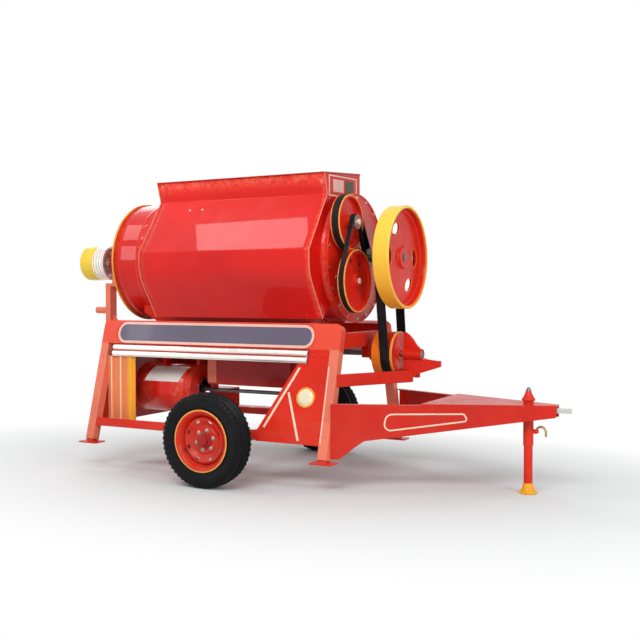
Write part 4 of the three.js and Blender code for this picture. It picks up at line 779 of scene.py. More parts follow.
def plate_marks(place):
    """Two painted lines and the round reflector on the near gusset plate."""
    lines = [[(0.600, climb(0.915)), (0.345, climb(0.452))], [(0.528, climb(0.724)), (0.660, climb(0.371))]]
    shapes = []
    for line in lines:
        shapes.append(stripe(line, 0.019, place, GUSSET_FACE - 0.0002, GUSSET_FACE + 0.0009, closed=False))
    put("gusset_lines", joined(*shapes), CREAM)
    at = (0.685, climb(0.692))
    glass = [(0.0, 0.0165), (0.03, 0.0160), (0.052, 0.0135), (0.064, 0.0095),
             (0.068, 0.004), (0.068, 0.0), (0.0, 0.0)]
    base = [(0.066, 0.0), (0.078, 0.0), (0.079, 0.006), (0.076, 0.0105), (0.070, 0.0115), (0.066, 0.0095)]
    for label, profile, material in (("reflector_glass", glass, LENS), ("reflector_bezel", base, RING)):
        verts, faces = turned(profile, (0, 0, 0), "Z", 64)
        shape = [place(at[0] + v[0], at[1] + v[1], GUSSET_FACE + v[2]) for v in verts], faces
        put(label, shape, material, 40)


for which in ("near", "far"):
    side_frame(which)

dressed("rear_top_cross", SHADED_RED)
dressed("front_top_cross", RED, bevel=0.004)
dressed("near_input_brace", RED, bevel=0.005)
dressed("far_input_brace", RED, bevel=0.005)
dressed("pto_bracket", RED, bevel=0.006)


# Drum casing, hood and end walls
def casing():
    outer = 0.510
    up = math.pi / 2
    # openings, each a range of X and of angle: the feed throat, the concave's opening, the straw outlet
    openings = (((-0.80, 0.70), (up - math.asin(0.14 / outer), up + math.asin(0.44 / outer))),
                ((-1.077, 0.597), (-up - math.asin(0.33 / outer), -up + math.asin(0.33 / outer))),
                ((-1.15, -0.85), (-math.asin(0.292 / outer), -math.asin(0.012 / outer))))
    marks = [round(angle % math.tau, 6) for reach, arc in openings for angle in arc]
    angles = sorted(set(marks + [round(math.tau * i / 144, 6) for i in range(144)]))
    edges = [x for reach, arc in openings for x in reach]
    stations = sorted(set(edges + [-1.28, 0.815] + [-1.28 + 2.095 * i / 24 for i in range(25)]))

    def open_at(x, angle):
        for (rear, front), arc in openings:
            a, b = (t % math.tau for t in arc)
            inside = a < angle < b if a < b else angle > a or angle < b
            if rear < x < front and inside:
                return True
        return False

    verts, faces = [], []
    count = len(angles)
    for x in stations:
        verts += [(ax(x), outer * math.cos(a), DRUM_Z + outer * math.sin(a)) for a in angles]
    for i in range(len(stations) - 1):
        for j in range(count):
            k = (j + 1) % count
            middle = (angles[j] + (angles[k] if k else math.tau)) / 2
            if open_at((stations[i] + stations[i + 1]) / 2, middle):
                continue
            faces.append((i * count + j, i * count + k, (i + 1) * count + k, (i + 1) * count + j))
    shell = piece_of("casing_sheet", verts, faces, SHEET_RED, 30)
    settle(thickened(shell, 0.004, -1), "frame", "red_paint", "drum_casing")


casing()
bead = [(0.510, -0.006), (0.516, -0.009), (0.522, -0.006), (0.524, 0.0),
        (0.522, 0.006), (0.516, 0.009), (0.510, 0.006)]
for label, x, material in (("rear_casing_ring", -1.280, RING), ("front_casing_ring", 0.817, RED)):
    put(label, turned(bead, (ax(x), *DRUM), "X", 144), material, 60)
band = [(0.5102, -0.016), (0.5120, -0.014), (0.5124, 0.014), (0.5102, 0.016)]
put("casing_band_rear", turned(band, (ax(-1.02), *DRUM), "X", 144), SHEET_RED, 60)


def hood():
    near_top, bend, shoulder, toe = (-0.450, 2.420), (-0.400, 2.260), (-0.700, 1.822), (-0.475, 1.292)
    far_top = (0.182, 2.470)
    belly_a = (-0.700, 1.822 + (1.292 - 1.822) * 0.45)
    belly_b = (-0.690, 1.640)

    def curve(t):
        a, b, c, d = (Vector(p) for p in (shoulder, belly_a, belly_b, toe))
        return a * (1 - t) ** 3 + b * 3 * t * (1 - t) ** 2 + c * 3 * t * t * (1 - t) + d * t ** 3
    belly = [tuple(curve(i / 40)) for i in range(41)]
    line = rounded([near_top, bend, belly[0], belly[1]], [0, 0.020, 0.030, 0], 8)[1:-1]
    wall = [near_top] + [p for p in line if p != near_top] + belly[2:]
    wall.append((-0.345, 1.397))
    rear, front = ax(-0.84), ax(0.76)
    stations = [rear + (front - rear) * i / 30 for i in range(31)]
    verts, faces = [], []
    for x in stations:
        verts += [(x, y, z) for y, z in wall]
    count = len(wall)
    for i in range(30):
        for j in range(count - 1):
            faces.append((i * count + j, i * count + j + 1, (i + 1) * count + j + 1, (i + 1) * count + j))
    shell = piece_of("hood_near_sheet", verts, faces, SHEET_RED, 40)
    settle(thickened(shell, 0.004, 0), "frame", "red_paint", "feed_hood")

    foot_y = 0.182
    foot_z = DRUM_Z + math.sqrt(0.5105 ** 2 - foot_y ** 2)
    far = [(foot_y - 0.004, foot_z - 0.004), (foot_y, foot_z - 0.006), far_top,
           (far_top[0] - 0.004, far_top[1])]
    put("hood_far_sheet", prism(far, facing_x, rear, front), SHEET_RED, edge=(0.0012,))

    start = math.atan2(1.397 - DRUM_Z, -0.345) % math.tau
    end = math.atan2(foot_z - DRUM_Z, foot_y)
    arc = [(0.5108 * math.cos(a), DRUM_Z + 0.5108 * math.sin(a)) for a in
           [start + (end - start) * i / 60 for i in range(61)]]
    outline = wall[:-1] + arc + [far_top]
    for label, x in (("hood_rear_plate", -0.8405), ("hood_front_plate", 0.7565)):
        put(label, prism(outline, facing_x, ax(x), ax(x) + 0.004), SHEET_RED, 40, edge=(0.0010, 2, 60))

    # folded lips round the mouth, along the side plates and down the sloping edges
    rails = []
    mouth = [(rear, *near_top), (front, *near_top), (front, *far_top), (rear, *far_top)]
    for i in range(4):
        a, b = Vector(mouth[i]), Vector(mouth[(i + 1) % 4])
        rails.append(tube([a.lerp(b, t / 6) for t in range(7)], 0.0065, 12))
    put("hood_mouth_roll", joined(*rails), SHADED_RED, 60)
    # beads down the hood's end edges in the lit red: a painted highlight along the edges
    seams = [tube([(x, y, z) for y, z in wall[:-1]], 0.0048, 10) for x in (rear - 0.001, front + 0.001)]
    put("hood_edge_beads_lit", joined(*seams), LIT_RED, 60)

    # blank plate in a pale frame on the hopper's front end
    def on_front(u, v, d):
        return ax(0.7605) + d, u, v
    low, high, near, far = 2.252, 2.408, -0.370, 0.112
    frame_line = [(near, low), (far, low + 0.012), (far, high + 0.012), (near, high)]
    put("hopper_plate_frame", stripe(frame_line, 0.014, on_front, 0.0, 0.004), CREAM, 60)
    patch = [(near + 0.07, low + 0.035), (-0.12, low + 0.040),
             (-0.12, high - 0.020), (near + 0.07, high - 0.025)]
    put("hopper_pale_patch", prism(patch, on_front, 0.0, 0.0015), PINK, 60)
    patch = [(-0.085, low + 0.030), (0.060, low + 0.034), (0.060, high - 0.012), (-0.085, high - 0.016)]
    put("hopper_dark_patch", prism(patch, on_front, 0.0, 0.0015), OLIVE, 60)

    # rivets on the near sheet: two near its top and a row along its lower edge
    out = Vector((0, -0.8254, 0.5645))
    heads = [dome((ax(x), -0.4545, 2.178), out, 0.011, 0.006) for x in (-0.50, -0.375)]
    put("hood_near_rivets", joined(*heads), CREAM, 60)
    heads = []
    for i in range(17):
        x = rear + 0.03 + (front - rear - 0.06) * i / 16
        heads.append(dome((x, -0.4955, 1.318), (0, -0.95, -0.3), 0.006, 0.003))
    put("hood_toe_rivets", joined(*heads), SHEET_RED, 60)


def dome(at, direction, radius, height):
    """A low rivet head standing on a face at a point."""
    z = Vector(direction).normalized()
    x = z.orthogonal().normalized()
    y = z.cross(x)
    rings = []
    for k in range(6):
        t = math.pi / 2 * k / 5.2
        middle = Vector(at) + z * (height * math.sin(t))
        rings.append([middle + (x * a + y * b) * (radius * math.cos(t)) for a, b in circle(1, 18)])
    return loft(rings)


hood()


def cone():
    face, back = -1.2803, -1.2863
    profile = [(0.0335, -1.695), (0.074, -1.695), (0.080, -1.689), (0.134, -1.652), (0.140, -1.647),
               (0.180, -1.560), (0.184, -1.552), (0.299, back - 0.004), (0.304, back), (0.516, back),
               (0.520, back + 0.003), (0.516, face), (0.295, face), (0.172, -1.550), (0.080, -1.640),
               (0.0335, -1.640)]
    put("rear_wall_cone", spun(profile, DRUM, 120), SHADED_RED, 35, "frame", "deep_red_paint", "rear_end_wall")
    spots = ring_of_spots(back, 0.490, 16, DRUM, -1) + ring_of_spots(back, 0.335, 8, DRUM, -1)
    fixings("rear_wall_bolts", spots, 0.009)
    fixings("rear_bearing_bolts", ring_of_spots(-1.673, 0.107, 4, DRUM, -1), 0.010)


cone()


def front_wall():
    face = 0.8153
    front = face + 0.006
    profile = [(0.0, face), (0.520, face), (0.520, face + 0.004), (0.517, front), (0.0, front)]
    wall = piece_of("front_wall_sheet", *spun(profile, DRUM, 120), RED, 35)
    housings = (("main", DRUM, 0.0335, 0.078), ("feed", FEED, 0.0190, 0.062),
                ("counter", COUNTER, 0.0210, 0.062))
    carve(wall, [prism(circle(r, 40, *centre), facing_x, ax(face - 0.01), ax(face + 0.02))
                 for label, centre, r, plate in housings])
    settle(bevelled(wall, 0.001, 2, 60), "frame", "red_paint", "front_end_wall")
    fixings("front_wall_bolts", ring_of_spots(front, 0.492, 18, DRUM, 1), 0.009)
    x = ax(front)
    turn = math.radians(18)
    c, s = math.cos(turn), math.sin(turn)
    for label, (y, z), r, plate in housings:
        square = rounded(oblong(-plate, plate, -plate, plate), 0.026, 8)
        flange = prism([(y + u * c - v * s, z + u * s + v * c) for u, v in square], facing_x, x, x + 0.011)
        barrel = turned([(r, 0.0), (plate * 0.80, 0.0), (plate * 0.80, 0.013), (plate * 0.66, 0.026),
                         (plate * 0.60, 0.0285), (r, 0.0285)], (x, y, z), "X", 64)
        put(label + "_bearing_housing", joined(flange, barrel), SHADED_RED, 35, edge=(0.0015, 2, 40))
        spots = []
        reach = plate * 1.12
        for k in range(4):
            a = turn + math.pi / 4 + math.pi / 2 * k
            spots.append(((x + 0.011, y + reach * math.cos(a), z + reach * math.sin(a)), (1, 0, 0)))
        fixings(label + "_bearing_bolts", spots, 0.009)
        path = [(x + out, y, z + plate * up) for out, up in ((0.018, 0.74), (0.020, 0.80), (0.024, 0.90))]
        nipple = tube(path, 0.0035, 10)
        put(label + "_grease_nipple", nipple, BRASS, 35, "frame", "worked_steel")


front_wall()
dressed("concave_grate", DARK, "frame", "dark_steel", 0)
dressed("threshing_rotor", DARK, "rotor", "dark_steel", 0.0015, 40)
dressed("grain_trunk", RED, bevel=0.0015)
dressed("sieve_box", SHADED_RED, "sieve", "red_paint", 0.0015)
post = [block(ax(-0.4295), ax(-0.345), -0.3042, -0.3002, 0.735, 0.944),
        block(ax(-0.4340), ax(-0.4302), -0.3042, -0.220, 0.735, 0.944)]
put("sieve_corner_post", joined(*post), LIT_RED, 35, "sieve", edge=(0.0012,))
dressed("straw_spout", RED, bevel=0.0012)
dressed("rear_bearing_stand", LIT_RED, bevel=0.004)


# Pulleys, flywheel and belts
def pulley(name, centre, radius, bore, x0, x1, body, node_name, grooves):
    """A cast pulley: dished web, hub, and V grooves round its rim."""
    seat, inside = radius - 0.014, radius - 0.024
    hub = 0.052 if radius > 0.12 else 0.034
    middle = (x0 + x1) / 2
    profile = [(bore, x0), (hub, x0), (hub + 0.003, x0 + 0.003), (hub + 0.006, middle - 0.007),
               (inside - 0.004, middle - 0.006), (inside, middle - 0.010), (inside, x0 + 0.002),
               (inside + 0.003, x0), (radius - 0.002, x0), (radius, x0 + 0.002), (radius, x0 + 0.006)]
    pitch = (x1 - x0 - 0.014) / grooves
    for i in range(grooves):
        g = x0 + 0.007 + pitch * i
        profile += [(radius - 0.001, g + 0.001), (seat, g + pitch * 0.30), (seat, g + pitch * 0.70),
                    (radius - 0.001, g + pitch - 0.001)]
    profile += [(radius, x1 - 0.006), (radius, x1 - 0.002), (radius - 0.002, x1), (inside + 0.003, x1),
                (inside, x1 - 0.002), (inside, middle + 0.010), (inside - 0.004, middle + 0.006),
                (hub + 0.006, middle + 0.007), (hub + 0.003, x1 - 0.003), (hub, x1), (bore, x1)]
    put(name, spun(profile, centre, 112), RED, 35, body, "red_paint", node_name, edge=(0.0008, 1, 50))
    line = [(radius - 0.0085, x1 - 0.0002), (radius - 0.0085, x1 + 0.0012), (radius - 0.0005, x1 + 0.0012),
            (radius + 0.0009, x1 - 0.0006), (radius + 0.0009, x1 - 0.0045), (radius, x1 - 0.0045),
            (radius - 0.0005, x1 - 0.0002)]
    rear = [(r, x0 + x1 - x) for r, x in reversed(line)]
    lines = joined(spun(line, centre, 112), spun(rear, centre, 112))
    put(name + "_rim_line", lines, RING, 50, body)


def key_and_screw(name, centre, x, radius, shaft, body):
    """Key in the shaft end and the hub's set screw."""
    y, z = centre
    key = block(ax(x - 0.020), ax(x + 0.004), y - 0.005, y + 0.005, z + shaft * 0.45, z + shaft + 0.006)
    screw = bolt((ax(x - 0.014), y + radius * 0.5, z + radius * 0.866), (0, 0.5, 0.866), 0.007, False)
    put(name, joined(key, screw), STEEL, 30, body, "worked_steel")


pulley("feed_wheel", FEED, 0.212, 0.0186, 0.862, 0.934, "feed", "feed_pulley", grooves=2)
pulley("counter_wheel", COUNTER, 0.243, 0.0206, 0.937, 0.993, "counter", "counter_pulley", grooves=2)
plugs = []
for across, up in ((-0.092, 0.150), (0.060, 0.128)):
    at = (ax(0.9715), COUNTER[0] + across, COUNTER[1] + up)
    plugs.append(turned([(0.0, 0.0), (0.016, 0.0), (0.016, 0.0028), (0.0, 0.0028)], at, "X", 32))
put("counter_wheel_plugs", joined(*plugs), HUBBLACK, 40, "counter", "dark_steel")
caps = []
for centre, front in ((COUNTER, 1.0032), (FEED, 1.0032)):
    caps.append(spun([(0.0, front), (0.024, front), (0.022, front + 0.004),
                      (0.0, front + 0.006)], centre, 40))
put("counter_end_cap", caps[0], CREAM, 40, "counter", "worked_steel")
put("feed_end_cap", caps[1], CREAM, 40, "feed", "worked_steel")
pulley("drive_wheel", DRUM, 0.190, DRUM_BORE, *WIDE_WHEEL, "rotor", "drive_pulley", grooves=4)
pulley("input_wheel", INPUT, 0.180, INPUT_BORE, *WIDE_WHEEL, "input", "input_pulley", grooves=4)


def shaft(name, centre, profile, body, *nodes, material=STEEL, slot="worked_steel", sides=64):
    made = piece_of(name, *spun(profile, centre, sides), material, 40)
    return settle(made, body, slot, *nodes)


def grooved(radius, middle, width, count):
    """Points of a small V pulley from its rear flange to its front flange."""
    half = width / 2 + 0.008
    points = [(radius, middle - half), (radius, middle - half + 0.006)]
    pitch = (2 * half - 0.012) / count
    for i in range(count):
        g = middle - half + 0.006 + pitch * i
        points += [(radius - 0.014, g + pitch * 0.30),
                   (radius - 0.014, g + pitch * 0.70), (radius - 0.001, g + pitch)]
    points += [(radius, middle + half - 0.004), (radius, middle + half)]
    return points


profile = [(0.0, 0.805), (0.020, 0.805), (0.020, 1.000), (0.017, 1.003), (0.004, 1.003), (0.0, 0.999)]
shaft("counter_spindle", COUNTER, profile, "counter", "counter_shaft")
profile = [(0.0, -1.296), (0.015, -1.296), (0.018, -1.293), (0.018, 0.937), (0.030, 0.937)]
profile += grooved(0.058, 0.965, 0.040, 2)
profile += [(0.030, 0.993), (0.018, 0.994), (0.018, 1.002), (0.015, 1.003), (0.0, 1.003)]
shaft("feed_spindle", FEED, profile, "feed", "feed_shaft")
pegs = []
for i in range(8):
    x = -0.80 + 1.5 / 8 * (i + 0.5)
    turn = turning((ax(x), *FEED), i * math.pi / 3, "X")
    pegs.append(moved(prism(circle(0.009, 20), facing_z, -0.052, 0.052), turn))
put("feed_pegs", joined(*pegs), STEEL, 40, "feed", "worked_steel")

profile = [(0.0, 0.470), (0.019, 0.470), (0.022, 0.473), (0.022, 0.489),
           (0.060, 0.489), (0.062, 0.492), (0.062, 0.496)]
profile += grooved(0.110, 0.520, 0.040, 2)
profile += [(0.062, 0.545), (0.022, 0.551), (0.022, 1.306), (0.029, 1.308), (0.030, 1.311),
            (0.030, 1.343), (0.027, 1.346), (0.0, 1.346)]
shaft("input_spindle", INPUT, profile, "input", "input_shaft", material=DARK, slot="dark_steel")
splines = []
for i in range(6):
    turn = turning((AXLE, *INPUT), math.tau * i / 6, "X")
    splines.append(moved(block(1.310, 1.3445, -0.0055, 0.0055, 0.026, 0.0315), turn))
put("input_splines", joined(*splines), STEEL, 35, "input", "worked_steel", edge=(0.001, 1))
yellow = [(0.052, 0.9845), (0.058, 0.9845), (0.060, 1.010), (0.170, 1.016), (0.178, 1.012),
          (0.178, 0.988), (0.181, 0.9845), (0.1935, 0.9845), (0.196, 0.987), (0.196, 1.0435),
          (0.1935, 1.0465), (0.181, 1.0465), (0.178, 1.043), (0.178, 1.036), (0.170, 1.032),
          (0.060, 1.034), (0.052, 1.0465), (INPUT_BORE, 1.0465), (INPUT_BORE, 0.9845)]
put("input_side_wheel", spun(yellow, INPUT, 112), ORANGE, 35, "input", "yellow_paint")
face = [(0.0235, 1.1435), (0.060, 1.1435), (0.120, 1.1450), (0.176, 1.1470),
        (0.180, 1.1490), (0.1795, 1.1520), (0.172, 1.1535), (0.118, 1.1515),
        (0.060, 1.1500), (0.050, 1.1580), (0.0235, 1.1580)]
put("input_face_plate", spun(face, INPUT, 112), RED, 35, "input")
line = [(0.1735, 1.1530), (0.1735, 1.1545), (0.1800, 1.1530), (0.1812, 1.1500),
        (0.1812, 1.1480), (0.1795, 1.1480)]
put("input_face_line", spun(line, INPUT, 112), RING, 50, "input")


def big_flywheel():
    x0, x1 = 1.145, 1.275
    middle = (x0 + x1) / 2
    hub_front = middle + 0.030
    outer, inside, hub = 0.406, 0.382, 0.085
    profile = [(DRUM_BORE, x0), (hub - 0.004, x0), (hub, x0 + 0.004), (hub + 0.004, middle - 0.014),
               (hub + 0.012, middle - 0.008), (inside - 0.014, middle - 0.008),
               (inside + 0.002, middle - 0.016), (inside + 0.012, x0 + 0.010), (inside + 0.014, x0),
               (outer - 0.005, x0), (outer, x0 + 0.005), (outer, x1 - 0.005), (outer - 0.005, x1),
               (inside + 0.006, x1), (inside, x1 - 0.010), (inside - 0.003, middle + 0.016),
               (inside - 0.014, middle + 0.008), (hub + 0.012, middle + 0.008),
               (hub + 0.004, middle + 0.014), (hub, hub_front - 0.004), (hub - 0.004, hub_front),
               (DRUM_BORE, hub_front)]
    made = piece_of("flywheel_casting", *spun(profile, DRUM, 144), RED, 35)
    holes, edges = [], []
    for degrees in (0, 120, 180, 300):
        turn = turning((AXLE, *DRUM), math.radians(degrees), "X")
        oval = [(0.25 + 0.048 * a, 0.075 * b) for a, b in circle(1, 48)]
        holes.append(moved(prism(oval, facing_x, middle - 0.04, middle + 0.04), turn))
        path = [(middle + 0.0078, 0.25 + 0.0475 * a, 0.0745 * b) for a, b in circle(1, 48)]
        edges.append(moved(tube(path, 0.0028, 8, closed=True), turn))
    carve(made, holes)
    settle(bevelled(made, 0.001, 1, 60), "rotor", "red_paint", "flywheel")
    put("flywheel_hole_rims", joined(*edges), ORANGE, 60, "rotor")
    band = [(inside + 0.0048, x1 + 0.0004), (inside + 0.0066, x1 + 0.0010),
            (outer - 0.0050, x1 + 0.0010), (outer + 0.0008, x1 - 0.0046), (outer + 0.0008, x0 + 0.0046),
            (outer - 0.005, x0 - 0.0008), (outer - 0.012, x0 - 0.0008), (outer - 0.012, x0 + 0.0002),
            (outer - 0.0045, x0 + 0.0005), (outer - 0.0006, x0 + 0.005), (outer - 0.0006, x1 - 0.005),
            (outer - 0.0050, x1 - 0.0004), (inside + 0.0062, x1 - 0.0004)]
    put("flywheel_rim_paint", spun(band, DRUM, 144), TREAD, 40, "rotor", "yellow_paint")
    line = [(inside - 0.0010, x1 - 0.0110), (inside + 0.0006, x1 - 0.0110), (inside + 0.0066, x1 - 0.0006),
            (inside + 0.0046, x1 + 0.0008)]
    put("flywheel_inner_line", spun(line, DRUM, 144), ORANGE, 40, "rotor")
    key_and_screw("flywheel_key", DRUM, hub_front, hub, 0.032, "rotor")


big_flywheel()


def belt(name, first, second, x, width, count, body, node_name):
    """V belts side by side round two pulleys, each given as (y, z, radius of the belts' inner face)."""
    a, b = Vector(first[:2]), Vector(second[:2])
    ra, rb = first[2] + 0.0004, second[2] + 0.0004
    distance = (b - a).length
    heading = math.atan2(b.y - a.y, b.x - a.x)
    spread = math.acos((ra - rb) / distance)
    path = []
    arcs = ((a, ra, heading + spread, heading + math.tau - spread),
            (b, rb, heading - spread, heading + spread))
    for centre, radius, start, end in arcs:
        steps = 40
        for i in range(steps + 1):
            t = start + (end - start) * i / steps
            path.append((centre, radius, t, Vector((math.cos(t), math.sin(t)))))
    full = []
    for i, (centre, radius, t, normal) in enumerate(path):
        full.append((centre + normal * radius, normal))
        following = path[(i + 1) % len(path)]
        if following[0] is not centre:
            p, q = centre + normal * radius, following[0] + following[3] * following[1]
            for k in range(1, 16):
                full.append((p.lerp(q, k / 16), normal))
    pitch = width / count
    shapes = []
    for i in range(count):
        middle = x - width / 2 + pitch * (i + 0.5)
        half = pitch * 0.44
        section = [(-half * 0.66, 0.0), (half * 0.66, 0.0), (half, 0.0075), (half, 0.0105),
                   (half * 0.8, 0.0118), (-half * 0.8, 0.0118), (-half, 0.0105), (-half, 0.0075)]
        rings = [[(ax(middle + u), p.x + n.x * v, p.y + n.y * v) for u, v in section] for p, n in full]
        rings.append(rings[0])
        shapes.append(loft(rings, caps=False))
    section = oblong(-width * 0.46, width * 0.46, 0.0086, 0.0103)
    web = [[(ax(x + u), p.x + n.x * v, p.y + n.y * v) for u, v in section] for p, n in full]
    web.append(web[0])
    shapes.append(loft(web, caps=False))
    put(name, joined(*shapes), BELT, 40, body, "belt_rubber", node_name)


belt("drive_v_belts", (*DRUM, 0.182), (*INPUT, 0.172), 1.095, 0.080, 4, "frame", "main_belts")
belt("feed_v_belt", (*DRUM, 0.067), (*FEED, 0.204), 0.898, 0.056, 2, "frame", "feed_belt")
belt("counter_v_belt", (*FEED, 0.050), (*COUNTER, 0.235), 0.965, 0.040, 2, "frame", "counter_belt")
belt("fan_v_belt", (*INPUT, 0.102), (*FAN, 0.072), 0.520, 0.040, 2, "frame", "fan_belt")


def rear_pulley():
    x0, band, x1 = -1.980, -1.830, -1.702
    radius, inner, hub, bore = 0.160, 0.138, 0.055, DRUM_BORE
    crown = [(bore, x0), (hub, x0), (hub, band - 0.012), (inner, band - 0.010),
             (inner, x0 + 0.002), (inner + 0.003, x0), (radius - 0.004, x0),
             (radius, x0 + 0.004), (radius + 0.0015, (x0 + band) / 2), (radius, band - 0.003),
             (radius - 0.002, band), (inner + 0.002, band), (bore, band)]
    put("rear_pulley_band", spun(crown, DRUM, 120), YELLOW, 35, "rotor", "yellow_paint")
    profile = [(bore, band + 0.0002), (inner, band + 0.0002),
               (radius - 0.001, band + 0.0002), (radius, band + 0.002)]
    pitch = (x1 - band) / 4
    for i in range(4):
        g = band + pitch * i
        profile += [(radius, g + pitch * 0.40), (radius - 0.007, g + pitch * 0.54),
                    (radius - 0.007, g + pitch * 0.70), (radius, g + pitch * 0.86)]
    profile += [(radius, x1 - 0.001), (radius - 0.002, x1), (inner, x1),
                (inner, band + 0.02), (hub, band + 0.018), (hub, x1), (bore, x1)]
    put("rear_pulley_grooves", spun(profile, DRUM, 120), CHROME, 30, "rotor", "worked_steel", "rear_pulley")


rear_pulley()


# Fan under the drum
def blower():
    y, z = FAN
    r, sheet = 0.205, 0.003
    x0, x1 = -1.150, -0.550
    low, mouth = z - r, y + 0.56
    outline = [(mouth, low), (mouth, low + 0.17)]
    first = math.asin(-0.035 / r)
    sweep = [first + (3 * math.pi / 2 - first) * k / 60 for k in range(61)]
    top = [(y + r * math.cos(t), z + r * math.sin(t)) for t in sweep]
    outline += top
    for label, at in (("blower_rear_plate", x0), ("blower_front_plate", x1 - sheet)):
        plate = piece_of(label, *prism(outline, facing_x, ax(at), ax(at + sheet)), RED, 40)
        hole = 0.095 if at > -0.6 else 0.0166
        carve(plate, [prism(circle(hole, 64, y, z), facing_x, ax(at - 0.02), ax(at + 0.02))])
        settle(plate, "frame", "red_paint", "blower_housing")
    strip = top + [(mouth, low)]
    verts = [(ax(x), u, v) for x in (x0 + sheet, x1 - sheet) for u, v in strip]
    count = len(strip)
    faces = [(i, i + 1, count + i + 1, count + i) for i in range(count - 1)]
    base = len(verts)
    verts += [(ax(x0 + sheet), mouth, low + 0.17), (ax(x0 + sheet), *top[0]),
              (ax(x1 - sheet), *top[0]), (ax(x1 - sheet), mouth, low + 0.17)]
    faces.append((base, base + 1, base + 2, base + 3))
    wrap = piece_of("blower_wrapper", verts, faces, SHEET_RED, 40)
    settle(thickened(wrap, sheet, 1), "frame", "red_paint")
    # a sheet behind the fan in the shaded red: painted shade filling the gaps round the fan
    shade_sheet = block(ax(x0), ax(x1), y + 0.220, y + 0.223, low + 0.1685, 0.950)
    put("blower_shade_sheet", shade_sheet, SHADED_RED, edge=(0.0008, 1))
    shoulder = DRUM_Z - 0.452
    steepness = (shoulder - 0.965) / 0.656
    straps = []
    for front in (-0.570, -0.930):
        rings = []
        for x in (front - 0.030, front):
            wall = shoulder - (x + 1.080) * steepness - 0.0006
            rings.append([(ax(x), y - 0.040, z + 0.200), (ax(x), y + 0.040, z + 0.200),
                          (ax(x), y + 0.040, wall), (ax(x), y - 0.040, wall)])
        straps.append(loft(rings))
    put("blower_straps", joined(*straps), RED, edge=(0.0015,))
    rims = []
    bead = r + 0.0025
    for at in (x0 + sheet / 2, x1 - sheet / 2):
        path = [(ax(at), y + bead * math.cos(t), z + bead * math.sin(t)) for t in sweep]
        rims.append(tube(path, 0.0055, 10))
    put("blower_edge_beads", joined(*rims), RED, 60)
    ring = [(0.093, -0.003), (0.118, -0.003), (0.118, 0.003), (0.103, 0.006), (0.096, 0.012), (0.093, 0.012)]
    put("fan_eye_ring", turned(ring, (ax(x1 + 0.0005), y, z), "X", 72), SHADED_RED, 40)
    fixings("fan_eye_bolts", ring_of_spots(x1 + 0.003, 0.110, 8, FAN, 1), 0.005)


blower()


def on_drum(u, v, d):
    """The near side of the round housing, out by a distance."""
    reach = 0.205 + d
    return ax(u), FAN[0] - math.sqrt(max(reach ** 2 - (v - FAN[1]) ** 2, 0.0)), v


def curved_label():
    rows, columns = 16, 4
    verts, faces = [], []
    for lift in (0.0034, 0.0050):
        for i in range(rows + 1):
            v = 0.732 + 0.122 * i / rows
            slant = 0.045 * i / rows
            for j in range(columns + 1):
                verts.append(on_drum(-1.040 + slant + 0.362 * j / columns, v, lift))
    width = columns + 1
    layer = (rows + 1) * width
    for i in range(rows):
        for j in range(columns):
            a = i * width + j
            faces.append((a, a + width, a + width + 1, a + 1))
            faces.append((layer + a, layer + a + 1, layer + a + width + 1, layer + a + width))
    edge = list(range(columns + 1)) + [i * width + columns for i in range(1, rows + 1)]
    edge += [rows * width + j for j in range(columns - 1, -1, -1)] + [i * width
                for i in range(rows - 1, 0, -1)]
    for k, a in enumerate(edge):
        b = edge[(k + 1) % len(edge)]
        faces.append((a, b, layer + b, layer + a))
    return verts, faces


put("blower_blank_plate", curved_label(), BLANK, 40)
dressed("fan_rotor", DARK, "fan", "dark_steel", 0.001, 40)


# Drawbar and support leg
for which in ("near", "far"):
    dressed(which + "_tongue_plate", BAR_RED)
dressed("tongue_top_plate", BAR_RED, bevel=0.0015)
dressed("hitch_bar", STEEL, "frame", "worked_steel", 0.005)

TONGUE_X, TONGUE_Y = 0.9203, 0.660  # where the drawbar's side plates start
tongue_angle = math.atan2(TONGUE_Y - 0.046, 2.455 - TONGUE_X)


def tongue_place(sign):
    def place(along, z, out):
        x = TONGUE_X + along * math.cos(tongue_angle) + out * math.sin(tongue_angle)
        y = TONGUE_Y - along * math.sin(tongue_angle) + out * math.cos(tongue_angle)
        return (ax(x), sign * y, z)
    return place


corners = [((x - TONGUE_X) / math.cos(tongue_angle), z)
           for x, z in ((1.285, 0.462), (1.31, 0.590), (1.840, 0.600), (1.865, 0.548))]
teardrop = rounded(corners, [0.055, 0.055, 0.024, 0.024], 10)
for which, sign in (("near", -1), ("far", 1)):
    put(which + "_tongue_line", stripe(teardrop, 0.011, tongue_place(sign), 0.0, 0.0009), CREAM)


